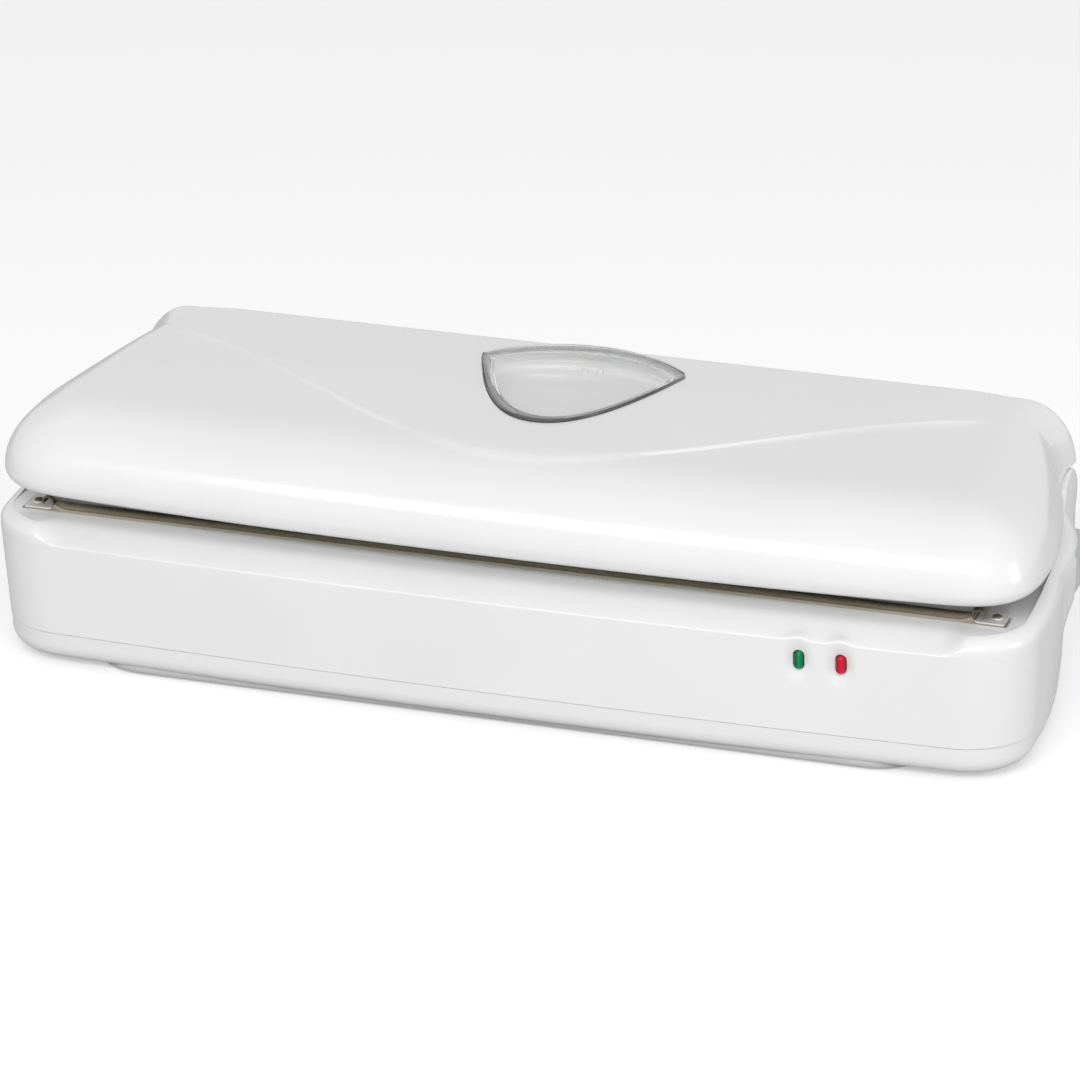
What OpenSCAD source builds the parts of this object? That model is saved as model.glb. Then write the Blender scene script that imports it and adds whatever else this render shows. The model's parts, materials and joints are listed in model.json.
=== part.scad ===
/* [Base] */
// Width of the base across its widest point
body_w = 359; // [354:1:366]
// Depth of the base from its front lip to its back wall
body_d = 135; // [132:0.5:140]
// Height of the shoulder that runs round the top of the base
shoulder_z = 56.5; // [55.5:0.5:58]
// Height of the sunk sealing deck
deck_z = 52; // [51:0.5:53]
// Height of the seam between base housing and bottom pan
seam_z = 12.8; // [11:0.2:14]
// Height of the front crease, where the loading ramp meets the front wall
crease_z = 46; // [44:0.5:48]
// How far the front wall leans inwards from the crease down to the seam
front_lean = 3.2; // [2:0.1:4]
// How far the side and back walls lean inwards down to the seam
side_lean = 1.5; // [1:0.1:2.5]
// Radius of the roll along the top edge of the base
shoulder_r = 8; // [6:0.5:9]
// Width of the raised rim round the sealing deck
deck_rim = 10; // [9.5:0.5:12]
// Distance of the sealing deck's back edge from the back wall
deck_end = 40.5; // [39.5:0.5:42.5]
// Distance of each end of the loading ramp from the side of the base
ramp_end = 26.5; // [23.5:0.5:34.5]
// Depth of the loading ramp from the crease to the deck
ramp_run = 16.5; // [14:0.5:18]

/* [Plan] */
// How far each side draws in towards the back
side_taper = 17; // [14:0.5:18]
// How far each side draws in towards the front
front_taper = 1; // [0.5:0.5:3]
// Distance of the widest point behind the front lip
widest_from = 42.5; // [37.5:0.5:52.5]
// Bow of the front edge from the middle to the corner
front_bow = 4; // [3:0.5:5]
// Radius of the two front corners seen from above
corner_front = 22; // [20:1:26]
// Radius of the two back corners seen from above
corner_back = 14; // [13:0.5:16]
// Most that the side wing swells out round the release button
wing_out = 3.5; // [3:0.5:5]
// Distance of the middle of the side wing in front of the back wall
wing_from = 38.5; // [35.5:0.5:41.5]
// Half length of the side wing
wing_half = 34; // [30:1:38]

/* [Walls] */
// Wall of the base housing
base_wall = 2.5; // [2:0.1:3]
// Wall of the bottom pan
pan_wall = 2.4; // [2:0.1:3]
// Wall of the lid shell
lid_wall = 2.5; // [2:0.1:3]
// Wall of the lid liner
liner_wall = 2; // [1.6:0.1:2.4]
// Gap left between two moulded parts that sit together
fit_gap = 0.3; // [0.2:0.05:0.4]
// Radial clearance of a running pin or shaft
run_gap = 0.05; // [0.03:0.01:0.08]

/* [Bottom pan and feet] */
// Height of the bottom of the pan above the table
pan_z = 2.6; // [2:0.1:3]
// Radius of the roll along the bottom edge of the pan
pan_roll = 6; // [5:0.5:8]
// Height of the underside of the foot platform
platform_z = 0.8; // [0.5:0.1:1.2]
// Distance of each end of the foot platform from the side of the base
platform_end = 33.5; // [30:0.5:40]
// How far the foot platform sits back from the front and back walls
platform_inset = 8.5; // [7:0.5:12]
// Diameter of a rubber foot
foot_d = 14; // [10:1:18]
// Thickness of a rubber foot
foot_t = 2.2; // [1.8:0.1:2.6]
// Distance of the feet from the sides of the base
foot_side = 57.5; // [52:0.5:68]
// Distance of the feet from the front and back of the base
foot_end = 25.5; // [23.5:0.5:31]

/* [Lid] */
// How far the widest point of the lid stands in from the side of the base
lid_inset = 1.5; // [0.5:0.1:3]
// How far the sides of the lid draw in at the waist in front of the hinge
lid_waist = 12.7; // [10:0.1:14]
// Distance of the waist in front of the back wall
waist_back = 25.5; // [24:0.5:27]
// How far the two rear lobes swell out again behind the waist
lobe_out = 5.4; // [4:0.1:6.5]
// Gap between the lid rim and the shoulder of the base
lid_gap = 2; // [1.5:0.1:2.5]
// Height of the lid from its rim to its top
lid_h = 31.5; // [30:0.5:33]
// Height of the rounded lip below the widest line of the lid
lip_h = 7.5; // [6:0.5:9]
// How far the rounded lip tucks in at the rim
lip_tuck = 3.7; // [3:0.1:4.5]
// How far the lid front stands back from the front lip of the base
lid_setback = 3.5; // [3:0.5:4.5]
// Width of the roll along the front of the lid
front_roll = 32; // [28:1:34]
// Width of the roll along the sides of the lid at the front
side_roll = 29; // [26:1:32]
// Width of the roll along the sides of the lid at the back
hump_roll = 19; // [16:1:22]
// Width of the roll along the back of the lid
back_roll = 11; // [10:0.5:13]
// Height of the step along the sweeping line on the lid
sweep_step = 0.9; // [0.5:0.1:1.2]
// Distance of the sweeping line behind the front lip, at the middle of the lid
sweep_in = 23.5; // [21.5:0.5:27.5]
// Distance of the ends of the sweeping line in front of the back wall
sweep_rear = 37.5; // [34:0.5:41.5]
// Distance of the ends of the sweeping line from the sides of the lid
sweep_end = 37; // [34:0.5:46]

/* [Window] */
// Half width of the lid window
window_half = 35; // [32:0.5:38]
// Distance of the window's front tip behind the front lip
window_tip = 50.5; // [47.5:0.5:53.5]
// Distance of the window's side corners in front of the back wall
window_corner = 29.5; // [27.5:0.5:32.5]
// Distance of the window's back edge in front of the back wall
window_end = 12.5; // [11.5:0.5:15.5]
// Thickness of the window plate
window_t = 2.6; // [2.2:0.1:3]
// How far the window stands proud of the lid
window_proud = 1.2; // [0.8:0.1:1.6]
// Depth of the cup under the window
well_depth = 8; // [6:0.5:10]
// Width of the ledge that the window sits on
window_ledge = 2.5; // [2:0.1:3]

/* [Hinge] */
// Distance of the hinge axis in front of the back wall
hinge_setback = 13.5; // [13:0.1:14]
// Height of the hinge axis
hinge_z = 57; // [56:0.5:58]
// Outer radius of the hinge barrel on the lid
barrel_r = 10.6; // [9.5:0.1:11]
// Radius of the hinge towers on the base
tower_r = 10; // [9:0.1:10.5]
// Outer end of a hinge tower, inside the widest side of the base
tower_inset = 12.5; // [12:0.5:14]
// Width of a hinge tower
tower_w = 10; // [8:0.5:12]
// Diameter of a hinge pin
hinge_pin_d = 5; // [4:0.5:6]
// Length of a hinge pin
hinge_pin_len = 20; // [17:0.5:22]

/* [Sealing] */
// Distance of each end of the brown cover strip from the side of the base
strip_end = 21.5; // [20.5:0.5:26.5]
// Width of the cover strip
strip_w = 10; // [8:0.5:11]
// Thickness of the cover strip
strip_t = 0.3; // [0.2:0.05:0.4]
// Distance of the strip's front edge from the front lip of the base
strip_setback = 18; // [17.5:0.5:19]
// Width of the heating band
band_w = 3; // [2:0.5:5]
// Thickness of the heating band
band_t = 0.3; // [0.2:0.05:0.4]
// How far the heater bar stands above the deck
bar_proud = 0.5; // [0.3:0.1:0.8]
// Thickness of the heater bar
bar_t = 2.2; // [1.8:0.1:2.4]
// Width of the silicone pressure strip in the lid
press_w = 9; // [7:0.5:10]
// Gap between the pressure strip and the cover strip with the lid down
press_gap = 1.2; // [1:0.1:1.5]
// Length of an end clip
clip_len = 8; // [7:0.5:8.5]
// Width of an end clip
clip_w = 8; // [6:0.5:9]

/* [Vacuum chamber] */
// Distance of each end of the vacuum trough from the side of the base
trough_end = 34.5; // [33.5:0.5:40]
// Distance of the trough behind the cover strip
trough_behind = 8; // [7.5:0.5:9.5]
// Distance of the trough in front of the back wall
trough_rear = 49; // [49:0.5:53]
// Depth of the trough below the deck
trough_h = 14; // [10:0.5:15]
// Wall of the trough
trough_wall = 1.8; // [1.4:0.1:2.2]
// Width of the foam gaskets
gasket_w = 5; // [4:0.5:5.5]
// Height of the lower gasket above the deck
gasket_h = 3.6; // [3:0.1:3.8]
// Gap between the two gaskets with the lid down
gasket_gap = 0.5; // [0.4:0.1:0.8]
// Outer diameter of the suction nozzle
nozzle_d = 8; // [7:0.5:9]
// Bore of the suction nozzle and of the air hose
nozzle_bore = 3; // [2.5:0.5:4]

/* [Release buttons and latches] */
// Length of a release button along the side
button_len = 22; // [18:1:24]
// Height of a release button
button_h = 18; // [14:1:19]
// Distance of the middle of a release button in front of the back wall
button_from = 38.5; // [36.5:0.5:40.5]
// Height of the middle of a release button
button_z = 43; // [41:0.5:44]
// Travel of a release button
button_travel = 2.5; // [2:0.5:3]
// Height of the button stem, where it pushes the latch lever
stem_z = 38; // [36:0.5:40]
// Diameter of the button stem
stem_w = 5; // [4:0.5:6]
// Thickness of a release button's cap
button_t = 4; // [3:0.5:4.5]
// Height of the latch pivots
latch_z = 20; // [18:0.5:22]
// Distance of the nose that holds the lid catch in front of the back wall
nose_from = 65.5; // [62.5:0.5:67.5]
// Diameter of a latch pivot pin
latch_pin_d = 3; // [2.5:0.5:4]
// Thickness of a latch lever
latch_t = 3; // [2.5:0.5:4]
// Width of a latch lever
latch_w = 9; // [7:0.5:10]
// Distance of a latch lever from the widest side of the base
latch_inset = 23.5; // [22:0.5:25]

/* [Lights] */
// Distance of the middle of the two lights from the right side of the base
lights_from = 67.5; // [63.5:0.5:79.5]
// Distance between the two lights
lights_pitch = 14; // [12:0.5:18]
// Height of the middle of the lights
lights_z = 38.5; // [36:0.5:40]
// Width of a light lens
lens_w = 3.2; // [2.5:0.1:4]
// Height of a light lens
lens_h = 6.4; // [5:0.1:8]
// Width of the dimple round a light
dimple_w = 9; // [8:0.5:11]
// Height of the dimple round a light
dimple_h = 13; // [11:0.5:14]

/* [Electrics] */
// Length of the transformer core
core_len = 46; // [40:1:50]
// Depth of the transformer winding, twice that of the core
core_depth = 36; // [30:1:40]
// Height of the transformer core
core_h = 30; // [26:1:32]
// Distance of the transformer's middle from the left side of the base
core_from = 62.5; // [60:0.5:66]
// Diameter of the pump motor
motor_d = 27.6; // [24:0.2:28]
// Length of the pump motor
motor_len = 36; // [30:1:40]
// Distance of the motor's middle from the suction nozzle
motor_from = 54; // [52:0.5:57]
// Diameter of the motor shaft
shaft_d = 3; // [2.5:0.5:4]
// Diameter of the eccentric on the motor shaft
eccentric_d = 9; // [8:0.5:10]
// Throw of the eccentric
eccentric_throw = 1.5; // [1:0.1:2]
// Length of the control board
board_len = 92; // [84:1:96]
// Depth of the control board
board_w = 52; // [48:1:56]
// Thickness of a circuit board
board_t = 1.6; // [1.2:0.2:2]

/* [Hidden] */

// Segment counts: round features, roll edges, long edges and plan corners
$fn = 48;
n_corner = 6;
n_roll = 4;
n_front = 8;
n_side = 8;
n_back = 6;
eps = 0.01;
through = 30;

half_w = body_w / 2;
front_y = -body_d / 2;
back_y = body_d / 2;
deck_under = deck_z - base_wall;
deck_back = back_y - deck_end;
ramp_len = body_w - 2 * ramp_end;
widest_y = front_y + widest_from;
wing_y = back_y - wing_from;
button_y = back_y - button_from;
nose_y = back_y - nose_from;
platform_len = body_w - 2 * platform_end;
foot_x = half_w - foot_side;
foot_y = back_y - foot_end;
lights_x = half_w - lights_from;

lid_half = half_w - lid_inset;
waist_y = back_y - waist_back;
sweep_front = front_y + sweep_in;
sweep_back = back_y - sweep_rear;
sweep_half = lid_half - sweep_end;
window_front = front_y + window_tip;
window_side = back_y - window_corner;
window_back = back_y - window_end;
lid_front = front_y + lid_setback;
rim_z = shoulder_z + lid_gap;
lid_wide_z = rim_z + lip_h;
lid_top = rim_z + lid_h;
liner_z = rim_z + 1.5;
liner_top = liner_z + liner_wall;

hinge_y = back_y - hinge_setback;
cove_r = hinge_setback + 0.8;
tower_out = half_w - tower_inset;
tower_in = tower_out - tower_w;
barrel_half = tower_in - 0.5;

strip_len = body_w - 2 * strip_end;
strip_front = front_y + strip_setback;
strip_y = strip_front + strip_w / 2;
bar_top = deck_z + bar_proud;
band_top = bar_top + band_t;
strip_top = band_top + strip_t;

// ---------- plan and loft helpers ----------

// Straight plan coordinates bent into the real plan: sides drawn in, front bowed
taper_power = 1.6;
function taper_at(t) = t < widest_y
    ? front_taper * pow((widest_y - t) / (widest_y - front_y), 2)
    : side_taper * pow((t - widest_y) / (back_y - widest_y), taper_power);
function bow_at(s, t) = front_bow * pow(s / half_w, 2) * (back_y - t) / body_d;
function bend(s, t) = [s * (1 - taper_at(t) / half_w), t + bow_at(s, t)];

function edge(p, q, n) = [for (i = [0 : n - 1]) p + (q - p) * i / n];
function arc(c, rx, ry, a0, a1, n) =
    [for (i = [0 : n - 1]) let (a = a0 + (a1 - a0) * i / n) c + [rx * cos(a), ry * sin(a)]];

// Rounded rectangle, half width w, from depth f to depth b, front and back corner radii
function outline(w, f, b, cf, cb) = concat(
    edge([cf - w, f], [w - cf, f], n_front),
    arc([w - cf, f + cf], cf, cf, -90, 0, n_corner),
    edge([w, f + cf], [w, b - cb], n_side),
    arc([w - cb, b - cb], cb, cb, 0, 90, n_corner),
    edge([w - cb, b], [cb - w, b], n_back),
    arc([cb - w, b - cb], cb, cb, 90, 180, n_corner),
    edge([-w, b - cb], [-w, f + cf], n_side),
    arc([cf - w, f + cf], cf, cf, 180, 270, n_corner)
);
function bent(pts) = [for (p = pts) bend(p[0], p[1])];

// Plan of the base drawn in by inset, and leaning in by a share of the full lean
function base_plan(inset, lean) = bent(outline(
    half_w - inset - side_lean * lean,
    front_y + inset + front_lean * lean,
    back_y - inset - side_lean * lean,
    max(corner_front - inset, 2), max(corner_back - inset, 2)));

// Lift plan points to a height
function at_z(pts, z) = [for (p = pts) [p[0], p[1], z]];

// Solid between a stack of rings that all have the same number of points
module loft(rings) {
    n = len(rings[0]);
    m = len(rings);
    polyhedron(
        points = [for (r = rings) each r],
        faces = concat(
            [[for (i = [0 : n - 1]) i]],
            [for (k = [0 : m - 2], i = [0 : n - 1])
                let (j = (i + 1) % n) [k * n + i, (k + 1) * n + i, (k + 1) * n + j]],
            [for (k = [0 : m - 2], i = [0 : n - 1])
                let (j = (i + 1) % n) [k * n + i, (k + 1) * n + j, k * n + j]],
            [[for (i = [n - 1 : -1 : 0]) (m - 1) * n + i]]
        )
    );
}

// Cylinder along X or Y, centred on its axis, from a start to a length
module rod_x(d, x0, len) { translate([x0, 0, 0]) rotate([0, 90, 0]) cylinder(d = d, h = len); }
module rod_y(d, y0, len) { translate([0, y0, 0]) rotate([-90, 0, 0]) cylinder(d = d, h = len); }

// Box from its lowest corner to its highest corner
module box(lo, hi) { translate(lo) cube(hi - lo); }

// Copy on the left and on the right
module both_sides() { children(); mirror([1, 0, 0]) children(); }

// Stadium outline standing on its long axis
module stadium(w, h) {
    square([w, h - w], center = true);
    for (s = [-1, 1]) translate([0, s * (h - w) / 2]) circle(d = w);
}

// ---------- base housing ----------

// Share of the full lean at a height
function lean_at(z) = max(crease_z - z, 0) / (crease_z - seam_z);

// Swelling of the side wall round the release button
wing_low = 24;
wing_full = 38;
function smooth(x) = let (c = min(max(x, 0), 1)) c * c * (3 - 2 * c);
function wing_at(y, z) = abs(y - wing_y) > wing_half ? 0
    : wing_out * pow(cos(90 * (y - wing_y) / wing_half), 2)
        * smooth((z - wing_low) / (wing_full - wing_low));
function winged(pts, z) = [for (p = pts)
    [p[0] + (abs(p[0]) > half_w / 2 ? sign(p[0]) : 0) * wing_at(p[1], z), p[1], z]];

base_levels = [seam_z, (seam_z + wing_low) / 2, wing_low, (wing_low + wing_full) / 2, wing_full, crease_z];
roll_low = shoulder_z - shoulder_r;

module base_outer() {
    loft(concat(
        [for (z = base_levels) winged(base_plan(0, lean_at(z)), z)],
        [for (k = [0 : n_roll]) let (a = 90 * k / n_roll, z = roll_low + shoulder_r * sin(a))
            winged(base_plan(shoulder_r * (1 - cos(a)), 0), z)]
    ));
}

module base_inner() {
    loft([
        for (z = [seam_z - 1, crease_z, deck_under])
            at_z(base_plan(base_wall, lean_at(max(z, seam_z))), z)
    ]);
}

// Wedge that scoops the loading ramp out of the front shoulder
ramp_end_slope = 0.9;
module ramp_cutter() {
    slope = (deck_z - crease_z) / ramp_run;
    over = 6;
    top = shoulder_z + over;
    function end_x(z) = ramp_len / 2 + (z - crease_z) * ramp_end_slope;
    profile = [
        [front_y + ramp_run, deck_z],
        [front_y - over, crease_z - over * slope],
        [front_y - over, top],
        [front_y + ramp_run, top]
    ];
    loft([for (s = [1, -1])
        [for (p = profile) [s * end_x(p[1]), p[0], p[1]]]]);
}

// Sunk deck between the raised rims
module deck_cutter() {
    translate([0, 0, deck_z]) linear_extrude(through) polygon(bent(outline(
        half_w - deck_rim, front_y + deck_rim, deck_back,
        corner_front - deck_rim, 4)));
}

module at_hinge() { translate([0, hinge_y, hinge_z]) children(); }

module hinge_tower() {
    at_hinge() rod_x(2 * tower_r, tower_in, tower_w);
    box([tower_in, hinge_y - tower_r, deck_under - 6], [tower_out, hinge_y + tower_r - 2, hinge_z]);
}

swing_drop = 12.2;
boss_d = 7;
screw_bore = 2.6;
boss_front_x = half_w - 31.5;
boss_back_x = half_w - 41.5;
boss_mid_x = 24;
boss_front_y = front_y + 23.5;
boss_back_y = back_y - 33.5;
boss_mid_y = front_y + 15.5;
boss_spots = [
    [-boss_front_x, boss_front_y], [boss_front_x, boss_front_y],
    [-boss_back_x, boss_back_y], [boss_back_x, boss_back_y],
    [-boss_mid_x, boss_mid_y], [boss_mid_x, boss_mid_y]
];

trough_x = half_w - trough_end;
trough_f = strip_front + strip_w + trough_behind;
trough_b = back_y - trough_rear;
bar_half = strip_len / 2 + clip_len + 3;

module lights_at() {
    for (s = [-1, 1]) translate([lights_x + s * lights_pitch / 2, 0, lights_z]) children();
}

// Depth of the front wall's outside at the lights
light_wall_y = bend(lights_x, front_y + front_lean * lean_at(lights_z))[1];
dimple_depth = 1;
gland_x = 59.5 - half_w;
gland_z = 26;
gland_d = 9;

latch_x = half_w - latch_inset;
slot_half = latch_w / 2 + 1.5;
slot_gap = 0.8;
plunger_x = half_w - 15;
plunger_y = front_y + 45.5;
plunger_d = 3.4;

module base_housing() {
    color("white") difference() {
        union() {
            difference() {
                base_outer();
                difference() {
                    base_inner();
                    translate([0, 0, -1.2 * base_wall]) ramp_cutter();
                    at_hinge() rod_x(2 * (cove_r + base_wall), -half_w, body_w);
                    for (p = boss_spots)
                        translate([p[0], p[1], seam_z]) cylinder(d = boss_d, h = deck_z - seam_z);
                    both_sides() {
                        translate([pocket_back - tub_wall, button_y, button_z]) button_form(fit_gap + tub_wall);
                        latch_ears();
                    }
                }
            }
            both_sides() hinge_tower();
        }
        ramp_cutter();
        deck_cutter();
        // hinge cove with the back wall cut down beside it
        at_hinge() rod_x(2 * cove_r, -tower_in, 2 * tower_in);
        box([-tower_in, hinge_y, hinge_z - swing_drop], [tower_in, back_y + 1, shoulder_z + 1]);
        // back corners cut down so that the lid's lobes can swing past
        both_sides() box([tower_in, hinge_y + tower_r + tower_gap, hinge_z - swing_drop],
            [half_w + 10, back_y + 1, shoulder_z + 1]);
        // hinge pin seats
        both_sides() at_hinge() rod_x(hinge_pin_d + 2 * run_gap, tower_in - 1, tower_w - 2);
        // opening for the vacuum trough
        box([-trough_x, trough_f, deck_under - 1], [trough_x, trough_b, deck_z + 1]);
        // slot for the heater bar
        box([-bar_half, strip_front, deck_z - bar_t + bar_proud],
            [bar_half, strip_front + strip_w, deck_z + 1]);
        // button pockets and their stem holes
        both_sides() {
            button_pocket();
            latch_pin();
        }
        // catch slots and plunger holes
        both_sides() {
            box([catch_x - hook_out - slot_gap, nose_y - slot_half, deck_under - 1],
                [catch_x + catch_t + slot_gap, nose_y + slot_half, deck_z + 1]);
            translate([plunger_x, plunger_y, deck_under - 1])
                cylinder(d = plunger_d + 2 * fit_gap, h = 5);
        }
        // lights
        lights_at() {
            translate([0, light_wall_y - 3, 0]) rotate([-90, 0, 0]) linear_extrude(3 + dimple_depth)
                stadium(dimple_w, dimple_h);
            translate([0, light_wall_y - 3, 0]) rotate([-90, 0, 0]) linear_extrude(9)
                stadium(lens_w + 2 * fit_gap, lens_h + 2 * fit_gap);
        }
        // screw bores
        for (p = boss_spots)
            translate([p[0], p[1], seam_z - 1]) cylinder(d = screw_bore, h = 16);
        // cord gland hole
        translate([gland_x, 0, gland_z]) rod_y(gland_d + 2 * fit_gap, back_y - 8, 12);
    }
}

// ---------- bottom pan, feet and screws ----------

function pan_inset(k) = seam_step + pan_roll * (1 - cos(90 * k / n_roll));
seam_step = 0.4;
module pan_solid(off) {
    loft(concat(
        [for (k = [n_roll : -1 : 0])
            at_z(base_plan(pan_inset(k) + off, 1), pan_z + off + pan_roll * (1 - sin(90 * k / n_roll)))],
        [at_z(base_plan(seam_step + off, 1), seam_z + (off > 0 ? 1 : -fit_gap))]
    ));
}

foot_spots = [for (sx = [-1, 1], sy = [-1, 1]) [sx * foot_x, sy * foot_y]];
vent_slots = 7;
vent_pitch = 5;
vent_w = 2;
vent_len = 22;
pan_boss_top = seam_z - fit_gap;

module platform(z0, z1, grow) {
    translate([0, 0, z0]) linear_extrude(z1 - z0) polygon(outline(
        platform_len / 2 + grow, front_y + platform_inset - grow, back_y - platform_inset + grow,
        20 + grow, 20 + grow));
}

module bottom_pan() {
    color("whitesmoke") difference() {
        union() {
            difference() {
                pan_solid(0);
                pan_solid(pan_wall);
            }
            platform(platform_z, pan_z + 1, 0);
            for (p = boss_spots)
                translate([p[0], p[1], pan_z]) cylinder(d = boss_d, h = pan_boss_top - pan_z);
        }
        // screw holes with a sunk head
        for (p = boss_spots) translate([p[0], p[1], 0]) {
            translate([0, 0, -1]) cylinder(d = 3.4, h = seam_z + 2);
            translate([0, 0, -1]) cylinder(d = 5.8, h = pan_z + 5);
        }
        for (p = foot_spots)
            translate([p[0], p[1], -1]) cylinder(d = foot_d + 2 * fit_gap, h = foot_t + 1);
        // exhaust slots under the pump
        for (i = [0 : vent_slots - 1])
            translate([motor_x + (i - (vent_slots - 1) / 2) * vent_pitch, 0, -1])
                linear_extrude(pan_z + pan_wall + 2) stadium(vent_w, vent_len);
    }
}

module rubber_feet() {
    color("dimgray") for (p = foot_spots)
        translate([p[0], p[1], 0]) cylinder(d = foot_d, h = foot_t);
}

module screw(head_d, head_t, d, len) {
    cylinder(d = head_d, h = head_t);
    translate([0, 0, head_t - eps]) cylinder(d = d, h = len);
}

screw_head_z = pan_z + 4 - 2;
module base_screws() {
    color("silver") for (p = boss_spots)
        translate([p[0], p[1], screw_head_z]) screw(5.2, 2, 2.5, 16);
}

module cord_gland() {
    color("lightgray") translate([gland_x, 0, gland_z]) difference() {
        union() {
            rod_y(gland_d, back_y - 7, 7);
            rod_y(gland_d + 3, back_y - side_lean * lean_at(gland_z) + fit_gap, 1.4);
            rod_y(gland_d + 3, back_y - 7, 1.6);
        }
        rod_y(gland_d - 3, back_y - 10, 20);
    }
}

// ---------- sealing strip ----------

module heater_bar() {
    color("tan") difference() {
        box([-bar_half + fit_gap, strip_front + fit_gap, deck_z - bar_t + bar_proud],
            [bar_half - fit_gap, strip_front + strip_w - fit_gap, bar_top]);
        // screw holes for the end clips
        both_sides() translate([clip_x, strip_y, bar_top - bar_t - 1]) cylinder(d = 2, h = bar_t + 2);
    }
}

clip_x = strip_len / 2 + 1 + clip_len / 2;

module heating_band() {
    color("silver")
        box([-strip_len / 2 - 1, strip_y - band_w / 2, bar_top],
            [strip_len / 2 + 1, strip_y + band_w / 2, band_top]);
}

module cover_strip() {
    color("peru")
        box([-strip_len / 2, strip_front, band_top], [strip_len / 2, strip_front + strip_w, strip_top]);
}

clip_t = 0.8;
clip_h = 3.4;
module end_clip() {
    translate([clip_x, strip_y, bar_top]) difference() {
        union() {
            translate([-clip_len / 2, -clip_w / 2, 0]) cube([clip_len, clip_w, clip_t]);
            // curled tongue that grips the band
            translate([-clip_len / 2 + 2, 0, 1.8]) rotate([90, 0, 0]) difference() {
                cylinder(d = 3.6, h = clip_w - 1, center = true);
                cylinder(d = 2.4, h = clip_w, center = true);
                translate([-3, -3, -clip_w]) cube([3, 2.4, 2 * clip_w]);
            }
            // upright ear and screw head
            translate([clip_len / 2 - clip_t, -clip_w / 2, 0]) cube([clip_t, clip_w, clip_h]);
            translate([1.4, 0, 0]) cylinder(d = 3.6, h = 2);
        }
        translate([1.4, 0, 1.4]) cube([5, 0.6, 2], center = true);
    }
}
module end_clip_right() { color("silver") end_clip(); }
module end_clip_left() { color("silver") mirror([1, 0, 0]) end_clip(); }

// ---------- vacuum chamber ----------

nozzle_x = trough_x - 39;
nozzle_y = trough_b - 12;
module vacuum_trough() {
    color("gainsboro") difference() {
        union() {
            box([-trough_x + fit_gap, trough_f + fit_gap, deck_z - trough_h - trough_wall],
                [trough_x - fit_gap, trough_b - fit_gap, deck_z]);
        }
        box([-trough_x + fit_gap + trough_wall, trough_f + fit_gap + trough_wall, deck_z - trough_h],
            [trough_x - fit_gap - trough_wall, trough_b - fit_gap - trough_wall, deck_z + 1]);
        translate([nozzle_x, nozzle_y, 0]) cylinder(d = stem_d + 0.4, h = deck_z);
    }
}

// Foam ring round the trough: outer box less inner box, round corners
module gasket(z0, z1) {
    grow = gasket_w;
    translate([0, 0, z0]) linear_extrude(z1 - z0) difference() {
        gasket_outline(grow + 0.6, 6);
        gasket_outline(0.6, 2);
    }
}
module gasket_outline(grow, r) {
    w = trough_x + grow;
    f = trough_f - grow;
    b = trough_b + grow;
    polygon(outline(w, f, b, r, r));
}
module lower_gasket() { color("gray") gasket(deck_z, deck_z + gasket_h); }

module suction_nozzle() {
    color("gainsboro") translate([nozzle_x, nozzle_y, 0]) difference() {
        union() {
            translate([0, 0, deck_z - trough_h]) cylinder(d = nozzle_d, h = 5);
            translate([0, 0, deck_z - trough_h - trough_wall - 7])
                cylinder(d = stem_d, h = 9 + trough_wall);
        }
        cylinder(d = nozzle_bore, h = deck_z);
    }
}

// ---------- lights ----------

module lens() {
    translate([0, light_wall_y + dimple_depth - 1.2, 0]) rotate([-90, 0, 0])
        linear_extrude(6) stadium(lens_w, lens_h);
}
module green_light() { color("green") translate([lights_x - lights_pitch / 2, 0, lights_z]) lens(); }
module red_light() { color("crimson") translate([lights_x + lights_pitch / 2, 0, lights_z]) lens(); }
light_board_y = light_wall_y + dimple_depth - 1.2 + 6;
module light_board() {
    color("darkgreen") {
        box([lights_x - 14, light_board_y, lights_z - 8], [lights_x + 14, light_board_y + 1.6, lights_z + 7]);
        both_posts() box([-1.5, 0, 0], [1.5, 1.5, 3]);
    }
}
module both_posts() {
    for (s = [-1, 1]) translate([lights_x + s * 11, light_board_y + 1.6, lights_z - 6]) children();
}

// ---------- electrics ----------

floor_z = pan_z + pan_wall;
board_z = floor_z + 5;
board_y = -4;
core_x = half_w - core_from;
motor_x = nozzle_x - motor_from;
// the control board lies just left of the motor
board_x = motor_x - motor_len / 2 - 1 - board_len / 2;
module control_board() {
    color("darkgreen") {
        box([board_x - board_len / 2, board_y - board_w / 2, board_z],
            [board_x + board_len / 2, board_y + board_w / 2, board_z + board_t]);
        for (sx = [-1, 1], sy = [-1, 1])
            translate([board_x + sx * (board_len / 2 - 5), board_y + sy * (board_w / 2 - 5), floor_z])
                cylinder(d = 5, h = board_z - floor_z);
    }
}
module board_parts() {
    top = board_z + board_t;
    color("black") translate([board_x, board_y, top]) {
        box([-36, -16, 0], [-18, 0, 14]);
        translate([-6, -10, 0]) cylinder(d = 10, h = 14);
        translate([8, -10, 0]) cylinder(d = 8, h = 12);
        box([-10, 8, 0], [12, 16, 2.4]);
        box([24, -18, 0], [38, -8, 9]);
    }
}
core_z = floor_z;
module transformer_core() {
    leg = core_len / 5;
    color("slategray") translate([-core_x, 0, core_z]) difference() {
        translate([-core_len / 2, -core_depth / 4, 0])
            cube([core_len, core_depth / 2, core_h]);
        for (s = [-1, 1]) translate([s * leg, 0, core_h / 2])
            cube([leg, core_depth, core_h - 12], center = true);
    }
}
module transformer_winding() {
    leg = core_len / 5;
    color("goldenrod") translate([-core_x, 0, core_z + core_h / 2]) difference() {
        cube([3 * leg - 0.6, core_depth, core_h - 12.6], center = true);
        cube([leg + 0.6, core_depth / 2 + 0.6, core_h], center = true);
    }
}

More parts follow.
